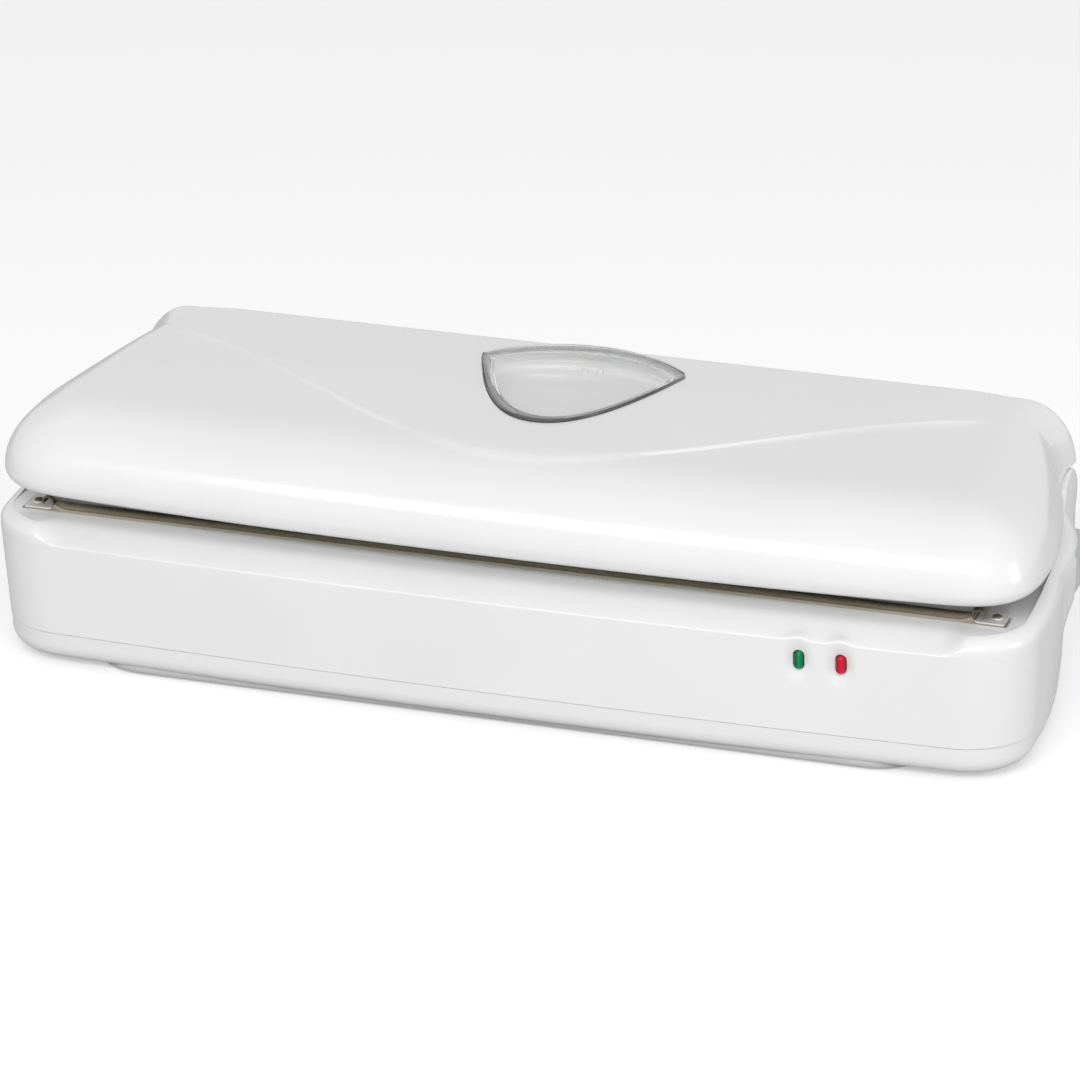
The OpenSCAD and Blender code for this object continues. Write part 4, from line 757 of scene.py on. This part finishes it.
STRIP_Y, STRIP_HALF = -44.5, 159
x = np.linspace(-STRIP_HALF, STRIP_HALF, 420)
y = np.concatenate([np.linspace(-4.97, -4.6, 6), np.linspace(-4.4, 4.85, 24)])
X, Y = np.meshgrid(x, y, indexing="ij")
top = np.stack([X, Y + STRIP_Y, 52.86 + tape(X, Y)], -1)
under = np.minimum(52.62, top[..., 2] - 0.2) + np.maximum(top[..., 2] - 53.3, 0)
low = np.stack([X, Y + STRIP_Y, under], -1)
strip = slab("tape", top, low)
stands_for(strip, "base", "cover_strip")
print("tape", len(strip.data.polygons), "faces")

# %% [markdown]
# ## Smaller moulded and metal pieces
# Buttons, barrel, foam rings, catches and the like keep the CAD shapes. Each is copied, its loose
# triangles are merged, and its edges get a small bevel, because real mouldings never have a
# knife edge and it is the bevel that catches the light.

# %% Softened copies
slot_of = {part["node"]: part["material_slot"] for part in frame["record"]["subparts"]}


def softened(name, bevel):
    """Merged copy of a CAD node with bevelled edges, which stands for the node."""
    piece = nodes[name].copy()
    piece.data = nodes[name].data.copy()
    piece.name = name + "_soft"
    for key in list(piece.keys()):
        del piece[key]
    piece.parent = None
    scene.collection.objects.link(piece)
    b = bmesh.new()
    b.from_mesh(piece.data)
    bmesh.ops.remove_doubles(b, verts=b.verts, dist=2e-6)
    bmesh.ops.dissolve_limit(b, angle_limit=math.radians(1.0), verts=b.verts, edges=b.edges)
    b.to_mesh(piece.data)
    b.free()
    piece.data.materials.clear()
    soft = piece.modifiers.new("bevel", "BEVEL")
    soft.width, soft.segments, soft.limit_method = bevel * MM, 2, "ANGLE"
    soft.angle_limit, soft.harden_normals, soft.use_clamp_overlap = math.radians(40), False, True
    body = next(b for b, members in frame["record"]["behaviour"]["bodies"].items() if name in members)
    return stands_for(piece, body, name, 30)


bevels = [("hinge_barrel", 0.4), ("release_button_left", 0.5), ("release_button_right", 0.5),
          ("lower_gasket", 0.5), ("upper_gasket", 0.5), ("heater_bar", 0.25), ("vacuum_trough", 0.5),
          ("rubber_feet", 0.5), ("lid_catch_left", 0.3), ("lid_catch_right", 0.3), ("lid_liner", 0.4),
          ("cord_gland", 0.3), ("suction_nozzle", 0.25), ("latch_lever_left", 0.3),
          ("latch_lever_right", 0.3), ("switch_plunger_left", 0.3), ("switch_plunger_right", 0.3)]
softs = {name: softened(name, bevel) for name, bevel in bevels}
print("softened", len(softs), "nodes")

# %% [markdown]
# Pieces by the sealing line show through the gap under the lid, so they get forms of their own.
# The pressure strip is a soft cord with a half-round belly. Each end clip is one steel ribbon: a flat
# foot over the end of the bar, an open curl that grips the tape, and a domed screw head.

# %% Pressure strip and end clips
a = np.linspace(np.pi, 2 * np.pi, 28)
belly = np.column_stack([STRIP_Y + 4.5 * np.cos(a), 58.5 + 4.2 * np.sin(a)])
belly = np.vstack([belly, [[-40.0, 60.0], [-49.0, 60.0]]])
presser = outward(side_prism("pressure_cord", belly, -STRIP_HALF, STRIP_HALF))
stands_for(presser, "lid", "pressure_strip")


HEAD_X, BAR_TOP = 165.6, 52.6


def curled_clip(side):
    """Steel ribbon in X and Z: a spiral curl, then a foot with a half-round screw head on it."""
    t, r = np.radians(np.linspace(-25, 270, 40)), np.linspace(1.55, 2.3, 40)
    curl = np.column_stack([160.6 + r * np.cos(t), 55.05 + r * np.sin(t)])
    path = np.vstack([curl, [[x, BAR_TOP + 0.15] for x in (162.0, 165.0, HEAD_X + 3.3)]])
    along_path = np.gradient(path, axis=0)
    along_path /= np.linalg.norm(along_path, axis=1)[:, None]
    normal = np.column_stack([-along_path[:, 1], along_path[:, 0]]) * 0.22
    section = np.vstack([path + normal, (path - normal)[::-1]]) * [side, 1]
    clip = outward(front_prism("clip", section, -49.45, -39.9))
    dome = [(1.7 * math.cos(v), 53.3 + 0.9 * math.sin(v)) for v in (0.4, 0.8, 1.2, 1.5)]
    join(clip, peg("head", side * HEAD_X, STRIP_Y, [(1.7, BAR_TOP + 0.2), (1.7, 53.3), *dome], 32))
    name = "end_clip_right" if side > 0 else "end_clip_left"
    return stands_for(clip, "base", name)


clips = [curled_clip(-1), curled_clip(1)]
print("clip faces", [len(p.data.polygons) for p in clips])

# %% [markdown]
# ## Finishes
# Shader sums are written as plain arithmetic. A small class wraps a socket and adds a Math node for
# each operator, and one method adds any other node from its type, its settings and its sockets.
# Colour, roughness and bump change over a surface; nearly everything else is set as a number.

# %% Socket arithmetic
class Wire:
    """A number or colour coming out of a node; arithmetic on it adds Math nodes."""

    def __init__(self, graph, socket):
        self.graph, self.socket = graph, socket

    def math(self, operation, *values):
        return self.graph.node("ShaderNodeMath", {"operation": operation}, dict(enumerate(values)))

    def __add__(self, other):
        return self.math("ADD", self, other)

    def __sub__(self, other):
        return self.math("SUBTRACT", self, other)

    def __mul__(self, other):
        return self.math("MULTIPLY", self, other)

    def __pow__(self, other):
        return self.math("POWER", self, other)

    def above(self, edge):
        return self.math("GREATER_THAN", self, edge)

    def sine(self):
        return self.math("SINE", self)

    def size(self):
        return self.math("ABSOLUTE", self)

    def between(self, low, high, to_low=0.0, to_high=1.0):
        """Smooth change from to_low to to_high as the value goes from low to high."""
        sockets = {"Value": self, "From Min": low, "From Max": high, "To Min": to_low, "To Max": to_high}
        return self.graph.node("ShaderNodeMapRange", {"interpolation_type": "SMOOTHSTEP"}, sockets)


# %% Node graphs
class Graph:
    """Nodes of one material or world."""

    def __init__(self, owner):
        owner.use_nodes = True
        self.tree = owner.node_tree

    def node(self, kind, settings=None, sockets=None, out=0):
        """Any node: its type, its settings first, then the values or links of its sockets."""
        made = self.tree.nodes.new(kind)
        for key, value in (settings or {}).items():
            setattr(made, key, value)
        for key, value in (sockets or {}).items():
            self.feed(made.inputs[key], value)
        return Wire(self, made.outputs[out])

    def feed(self, socket, value):
        """Links a wire to a socket, or sets its value; a colour of three numbers gets its fourth."""
        if isinstance(value, Wire):
            self.tree.links.new(value.socket, socket)
            return
        if hasattr(value, "__len__") and len(value) == 3 and len(socket.default_value) == 4:
            value = (*value, 1.0)
        socket.default_value = value

    def ray(self, kind):
        """1 for rays of a kind, 0 for others."""
        return self.node("ShaderNodeLightPath", out=f"Is {kind} Ray")


# %% Materials
finishes = {}


class Finish(Graph):
    """One material: its shader and the nodes that feed it. It is kept in finishes by its name."""

    def __init__(self, name, **fixed):
        finishes[name] = self
        self.material = bpy.data.materials.new(name)
        super().__init__(self.material)
        self.shader = self.tree.nodes["Principled BSDF"]
        for key, value in fixed.items():
            self.set(key.replace("_", " "), value)
        self.place = self.node("ShaderNodeTexCoord", out="Object")

    def set(self, socket, value):
        """Feeds a socket of the shader."""
        self.feed(self.shader.inputs[socket], value)

    def lit(self):
        """What the material's own shader gives."""
        return Wire(self, self.shader.outputs[0])

    def feed_output(self, shader):
        """Sends a shader to the material's surface."""
        self.feed(self.tree.nodes["Material Output"].inputs["Surface"], shader)

    def noise(self, scale, detail=2.0, stretch=(1, 1, 1)):
        """Noise on object coordinates, stretched along an axis; scale is in grains per metre."""
        spot = self.node("ShaderNodeMapping", None, {"Vector": self.place, "Scale": stretch})
        return self.node("ShaderNodeTexNoise", None, {"Vector": spot, "Scale": scale, "Detail": detail})

    def axes(self):
        """The three object coordinates as numbers in metres."""
        parts = self.tree.nodes.new("ShaderNodeSeparateXYZ")
        self.feed(parts.inputs[0], self.place)
        return [Wire(self, parts.outputs[k]) for k in range(3)]

    def tint(self, share, dark, light):
        """Colour between two shades by a share; a single number is a grey."""
        made = self.tree.nodes.new("ShaderNodeMix")
        made.data_type = "RGBA"
        self.feed(made.inputs["Factor"], share)
        for side, shade in (("A", dark), ("B", light)):
            shade = (shade,) * 3 if isinstance(shade, float) else shade
            self.feed(next(s for s in made.inputs if s.name == side and s.type == "RGBA"), shade)
        return Wire(self, next(s for s in made.outputs if s.type == "RGBA"))

    def bump(self, height, strength, distance):
        """Relief from a height, in metres."""
        sockets = {"Height": height, "Strength": strength, "Distance": distance}
        self.set("Normal", self.node("ShaderNodeBump", None, sockets, "Normal"))


print("shader helpers ready")

# %% [markdown]
# The white mouldings are glossy ABS. Such plastic is never one flat shade: its gloss wavers slowly
# over the sheet, and close to, its skin has a very shallow orange-peel texture from the tool. The
# pan's colour is darkened towards its foot: painted shade low down by the floor.

# %% White plastics
def plastic(name, dark, light, rough, coat, peel=0.00002, grain=420.0, heights=None):
    """Moulded plastic: two close shades by slow noise, wavering roughness and a shallow peel. With
    heights, the colour goes from dark to light over them instead, which paints shade low down."""
    f = Finish(name, Coat_Weight=coat, Coat_Roughness=0.06, Specular_IOR_Level=0.5)
    slow, fine_noise = f.noise(14.0, 3.0), f.noise(grain, 2.0)
    share = f.axes()[2].between(*heights) if heights else slow.between(0.3, 0.7)
    f.set("Base Color", f.tint(share, dark, light))
    f.set("Roughness", slow * (rough * 0.35) + fine_noise * (rough * 0.2) + rough * 0.72)
    f.bump(fine_noise, 0.25, peel)


for name, *look in (
        ("gloss_white", 0.80, 0.825, 0.22, 0.35),
        # pan_white darkens below 6 mm: painted shade at the pan's foot.
        ("pan_white", 0.40, (0.785, 0.785, 0.783), 0.3, 0.1, 0.000008, 300.0, (0.0, 0.006)),
        ("liner_white", 0.74, (0.78, 0.78, 0.775), 0.42, 0.0, 0.00004, 700.0),
        ("gland", (0.55, 0.55, 0.56), (0.60, 0.60, 0.61), 0.45, 0.0, 0.00004, 700.0),
        ("button_grey", (0.50, 0.51, 0.53), (0.55, 0.56, 0.58), 0.32, 0.1),
        ("black_part", (0.012, 0.012, 0.013), (0.02, 0.02, 0.022), 0.4, 0.0, 0.00004, 900.0),
        ("pump_black", (0.02, 0.02, 0.022), (0.035, 0.035, 0.037), 0.5, 0.0, 0.00006, 500.0)):
    plastic(name, *look)
print("plastics", sorted(finishes))

# %% [markdown]
# Rubber, foam and silicone scatter light softly. Foam is full of small cells, so its relief is a
# cell pattern; silicone is smooth with a faint dusty bloom.

# %% Soft materials
def cells(name, dark, light, size, rough, depth):
    """Soft skin of small cells: colour and relief follow the distance in a cell."""
    f = Finish(name)
    cell = f.node("ShaderNodeTexVoronoi", None, {"Vector": f.place, "Scale": 1.0 / size}, "Distance")
    cloud = f.noise(60.0, 3.0)
    f.set("Base Color", f.tint(cell * 0.8 + cloud * 0.4, dark, light))
    f.set("Roughness", cloud * 0.15 + rough)
    f.bump(cell, 0.6, depth)


cells("foam", (0.035, 0.035, 0.038), (0.12, 0.12, 0.125), 0.0006, 0.8, 0.0002)
cells("rubber", (0.05, 0.05, 0.052), (0.09, 0.09, 0.092), 0.0012, 0.62, 0.00004)
cells("silicone", (0.16, 0.16, 0.165), (0.22, 0.22, 0.225), 0.002, 0.5, 0.00003)
print("soft materials ready")

# %% [markdown]
# Metal shows how it was worked, as fine lines along one axis. The clips are lighter on their feet and
# darker on their curls. The core is a stack of sheets and the winding is many turns of wire, and
# a sine wave along one axis makes the ridges of both.

# %% Metals and electric parts
def metal(name, colour, worn, rough, stretch, metallic=1.0, heights=None):
    """Brushed or drawn metal: fine noise stretched along one axis changes shade, gloss and relief.
    With heights, the colour given as worn lies below them and goes over to colour above them instead."""
    f = Finish(name, Metallic=metallic)
    line, cloud = f.noise(900.0, 3.0, stretch), f.noise(45.0, 4.0)
    share = f.axes()[2].between(*heights) if heights else cloud * 0.6 + line * 0.4
    f.set("Base Color", f.tint(share, worn, colour))
    f.set("Roughness", line * 0.18 + cloud * 0.1 + rough)
    f.bump(line, 0.3, 0.00003)


metal("steel", (0.72, 0.72, 0.73), (0.5, 0.5, 0.51), 0.16, (0.08, 1, 1))
metal("clip", (0.17, 0.15, 0.115), (0.84, 0.83, 0.81), 0.42, (0.3, 1, 1), 0.6, (0.0530, 0.0536))
metal("motor", (0.60, 0.60, 0.61), (0.42, 0.42, 0.44), 0.22, (0.05, 1, 1))


# %% Core, winding, board and hose
def stacked(name, dark, light, pitch, axis, rough, metallic):
    """Stack of sheets or turns of wire: a sine wave along one axis makes the ridges."""
    f = Finish(name, Metallic=metallic)
    ridge = (f.axes()[axis] * (2 * math.pi / pitch)).sine()
    cloud = f.noise(80.0, 3.0)
    f.set("Base Color", f.tint(ridge * 0.35 + cloud * 0.5 + 0.2, dark, light))
    f.set("Roughness", cloud * 0.2 + rough)
    f.bump(ridge, 0.7, 0.00025)


stacked("core", (0.10, 0.10, 0.115), (0.22, 0.22, 0.24), 0.001, 1, 0.4, 0.7)
stacked("winding", (0.32, 0.10, 0.03), (0.62, 0.27, 0.10), 0.0009, 2, 0.25, 0.8)


def board(name):
    """Circuit board: green lacquer with lighter traces where a checker of stripes and noise meet."""
    f = Finish(name, Coat_Weight=0.4, Coat_Roughness=0.1)
    x, y, _ = f.axes()
    warp = f.noise(60.0, 1.0)
    lines = (x * 1500 + warp * 22).sine().size().above(0.93) * (y * 900 + warp * 16).sine().above(-0.2)
    f.set("Base Color", f.tint(lines, (0.01, 0.12, 0.045), (0.03, 0.24, 0.09)))
    f.set("Roughness", f.noise(300.0) * 0.15 + 0.25)
    f.bump(lines, 0.5, 0.00004)


board("circuit")


def tube_rubber(name):
    """Milky flexible tube."""
    f = Finish(name, IOR=1.42, Transmission_Weight=0.35)
    cloud = f.noise(90.0, 3.0)
    f.set("Base Color", f.tint(cloud, (0.62, 0.62, 0.60), (0.78, 0.78, 0.76)))
    f.set("Roughness", cloud * 0.15 + 0.28)
    f.bump(cloud, 0.2, 0.00005)


tube_rubber("hose")
print("metals and electric parts ready")

# %% [markdown]
# The tape over the wire is glass cloth soaked in a brown non-stick resin. Its weave shows as a fine
# checker of warp and weft, darker in the hollows, with lighter worn threads. Its colours are made
# light and its front fold darker, as painted light against the shade under the lid.

# %% Woven tape and laminate bar
def woven(name, dark, light, pitch, rough, relief, painted_light_band=None):
    """Plain weave: the product of two waves across each other chooses which thread is on top. With
    painted_light_band, the colour is darkened in front of that depth, as painted light: the front is lit,
    the rest shaded."""
    f = Finish(name, Coat_Weight=0.15, Coat_Roughness=0.25)
    x, y, _ = f.axes()
    warp, weft = (x * (math.pi / pitch)).sine(), (y * (math.pi / pitch)).sine()
    over = warp * weft
    thread = over.size() ** 0.5
    cloud, fleck = f.noise(55.0, 4.0, (1, 3, 1)), f.noise(700.0, 2.0)
    shade = f.tint(thread * 0.45 + cloud * 0.55 + fleck * 0.25 - 0.15, dark, light)
    # Painted light: darker in front, lighter behind, where the lid shades the tape.
    if painted_light_band:
        share = y.between(*painted_light_band, 0.48, 1.0)
        shade = f.node("ShaderNodeVectorMath", {"operation": "SCALE"}, {0: shade, "Scale": share})
    f.set("Base Color", shade)
    f.set("Roughness", fleck * 0.2 + rough)
    f.bump(thread, 0.6, relief)


# Light shades and a darker front: painted light against the shade under the lid.
woven("ptfe", (0.46, 0.40, 0.28), (0.84, 0.74, 0.545), 0.0007, 0.3, 0.00005, (-0.0490, -0.0470))
woven("phenolic", (0.34, 0.30, 0.23), (0.50, 0.45, 0.36), 0.0012, 0.5, 0.00004)
print("woven finishes ready")

# %% [markdown]
# The window is clear polycarbonate. It bends light like the real thing, but shadow rays and the
# soft light inside the cup pass it straight, so that the cup below is lit evenly. The lenses are of
# coloured plastic, with painted shade on one side of their middle and a painted highlight beside it.

# %% Clear and coloured plastics
def clear(name):
    """Clear plate: full transmission with faint scuffs, and a see-through shader for shadow rays."""
    f = Finish(name, IOR=1.49, Transmission_Weight=1.0, Base_Color=(0.955, 0.957, 0.955))
    scuff = f.noise(240.0, 4.0)
    f.set("Roughness", scuff.between(0.55, 0.8, 0.02, 0.09))
    f.bump(f.noise(30.0, 2.0), 0.15, 0.00002)
    straight = (f.ray("Shadow") + f.ray("Diffuse")) * 0.92
    see = f.node("ShaderNodeBsdfTransparent", None, {"Color": (0.88, 0.885, 0.88)})
    f.feed_output(f.node("ShaderNodeMixShader", None, {0: straight, 1: f.lit(), 2: see}))


def painted_refraction(name, dark, light):
    """Band round the window, painted refraction: dark in front, paler to the back."""
    f = Finish(name, Coat_Weight=0.6, Coat_Roughness=0.06)
    f.set("Base Color", f.tint(f.axes()[1].between(0.018, 0.048), dark, light))
    f.set("Roughness", f.noise(300.0, 2.0) * 0.1 + 0.12)


def coloured(name, x, dark, light):
    """Coloured lens: gloss over a mottled colour, with painted shade left of its middle and a painted
    highlight just right of it.
    """
    f = Finish(name, Specular_IOR_Level=0.2)
    glow = f.noise(500.0, 2.0)
    across = f.axes()[0] * 1000 - x
    # Painted shade left of the middle, painted highlight just right of it.
    lit = across.between(-0.9, 0.3) * across.between(0.6, 1.6, 1.0, 0.35)
    f.set("Base Color", f.tint(lit * 0.8 + glow * 0.2, dark, light))
    f.set("Roughness", glow * 0.1 + 0.12)
    f.bump(glow, 0.1, 0.00002)


clear("window_clear")
painted_refraction("painted_refraction_band", (0.05, 0.05, 0.052), (0.45, 0.45, 0.455))
coloured("green_lens", light_spots[0], (0.0, 0.075, 0.022), (0.004, 0.25, 0.085))
coloured("red_lens", light_spots[1], (0.33, 0.003, 0.012), (0.62, 0.012, 0.04))
print("finishes", len(finishes))

# %% Finishes on pieces
def dress(piece, slot):
    """Gives a piece the finish of a slot."""
    piece.data.materials.clear()
    piece.data.materials.append(finishes[slot].material)


own = [(housing, "gloss_white"), (pan, "pan_white"), (lid, "gloss_white"), (window, "window_clear"),
       (lamps[0], "green_lens"), (lamps[1], "red_lens"), (strip, "ptfe"), (border, "painted_refraction_band"),
       (presser, slot_of["pressure_strip"]), (clips[0], "clip"), (clips[1], "clip")]
own += [(piece, slot_of[name]) for name, piece in [*nodes.items(), *softs.items()]]
for piece, slot in own:
    dress(piece, slot)
print("dressed", len(own))

# %% [markdown]
# ## Light and floor
# A wide soft box high in front gives most of the light, with a low box at the right, a faint one
# above and pale surroundings. The surroundings look white to the camera, to reflections and through
# the window. The floor looks white to the camera and still takes the object's shadow.

# %% Studio
AMBIENT, FLOOR_GLOW, FLOOR_HALF = 0.44, 0.42, 6000
world = bpy.data.worlds.new("studio")
scene.world = world
sky = Graph(world)
sky.tree.nodes.clear()
white = sky.ray("Camera")
for kind in ("Transmission", "Glossy"):
    white = white.math("MAXIMUM", white, sky.ray(kind))
dim, full = (sky.node("ShaderNodeBackground", None, {"Color": (1, 1, 1), "Strength": strength})
             for strength in (AMBIENT, 1.0))
shown = sky.node("ShaderNodeMixShader", None, {0: white, 1: dim, 2: full})
sky.feed(sky.tree.nodes.new("ShaderNodeOutputWorld").inputs[0], shown)


def soft_lamp(name, place, target, size, power):
    """Area lamp of a size in metres that looks at a target."""
    data = bpy.data.lights.new(name, "AREA")
    data.shape, data.size, data.size_y, data.energy = "RECTANGLE", size[0], size[1], power
    lamp = bpy.data.objects.new(name, data)
    scene.collection.objects.link(lamp)
    lamp.location = place
    lamp.rotation_euler = (Vector(target) - Vector(place)).to_track_quat("-Z", "Y").to_euler()


soft_lamp("front_box", (0.18, -1.27, 1.0), (0, 0, 0.04), (1.8, 0.45), 17.2)
soft_lamp("top_box", (-0.2, 0.3, 1.3), (0, 0, 0.04), (1.4, 0.9), 0.4)
soft_lamp("side_box", (1.3, -0.1, 0.24), (0, 0, 0.05), (0.4, 0.8), 3.2)

corners = FLOOR_HALF * np.array([(-1, -1), (1, -1), (1, 1), (-1, 1)])
floor = new_piece("floor", lift(corners, 0), [(0, 1, 2, 3)])
ground = Finish("floor_white", Base_Color=(0.72, 0.72, 0.72), Roughness=0.9)
glow = {"Color": (1.0, 1.0, 1.0), "Strength": ground.ray("Camera") * FLOOR_GLOW}
glow = ground.node("ShaderNodeEmission", None, glow)
ground.feed_output(ground.node("ShaderNodeAddShader", None, {0: ground.lit(), 1: glow}))
floor.data.materials.append(ground.material)
scene.view_settings.view_transform = "Standard"
print("studio ready")
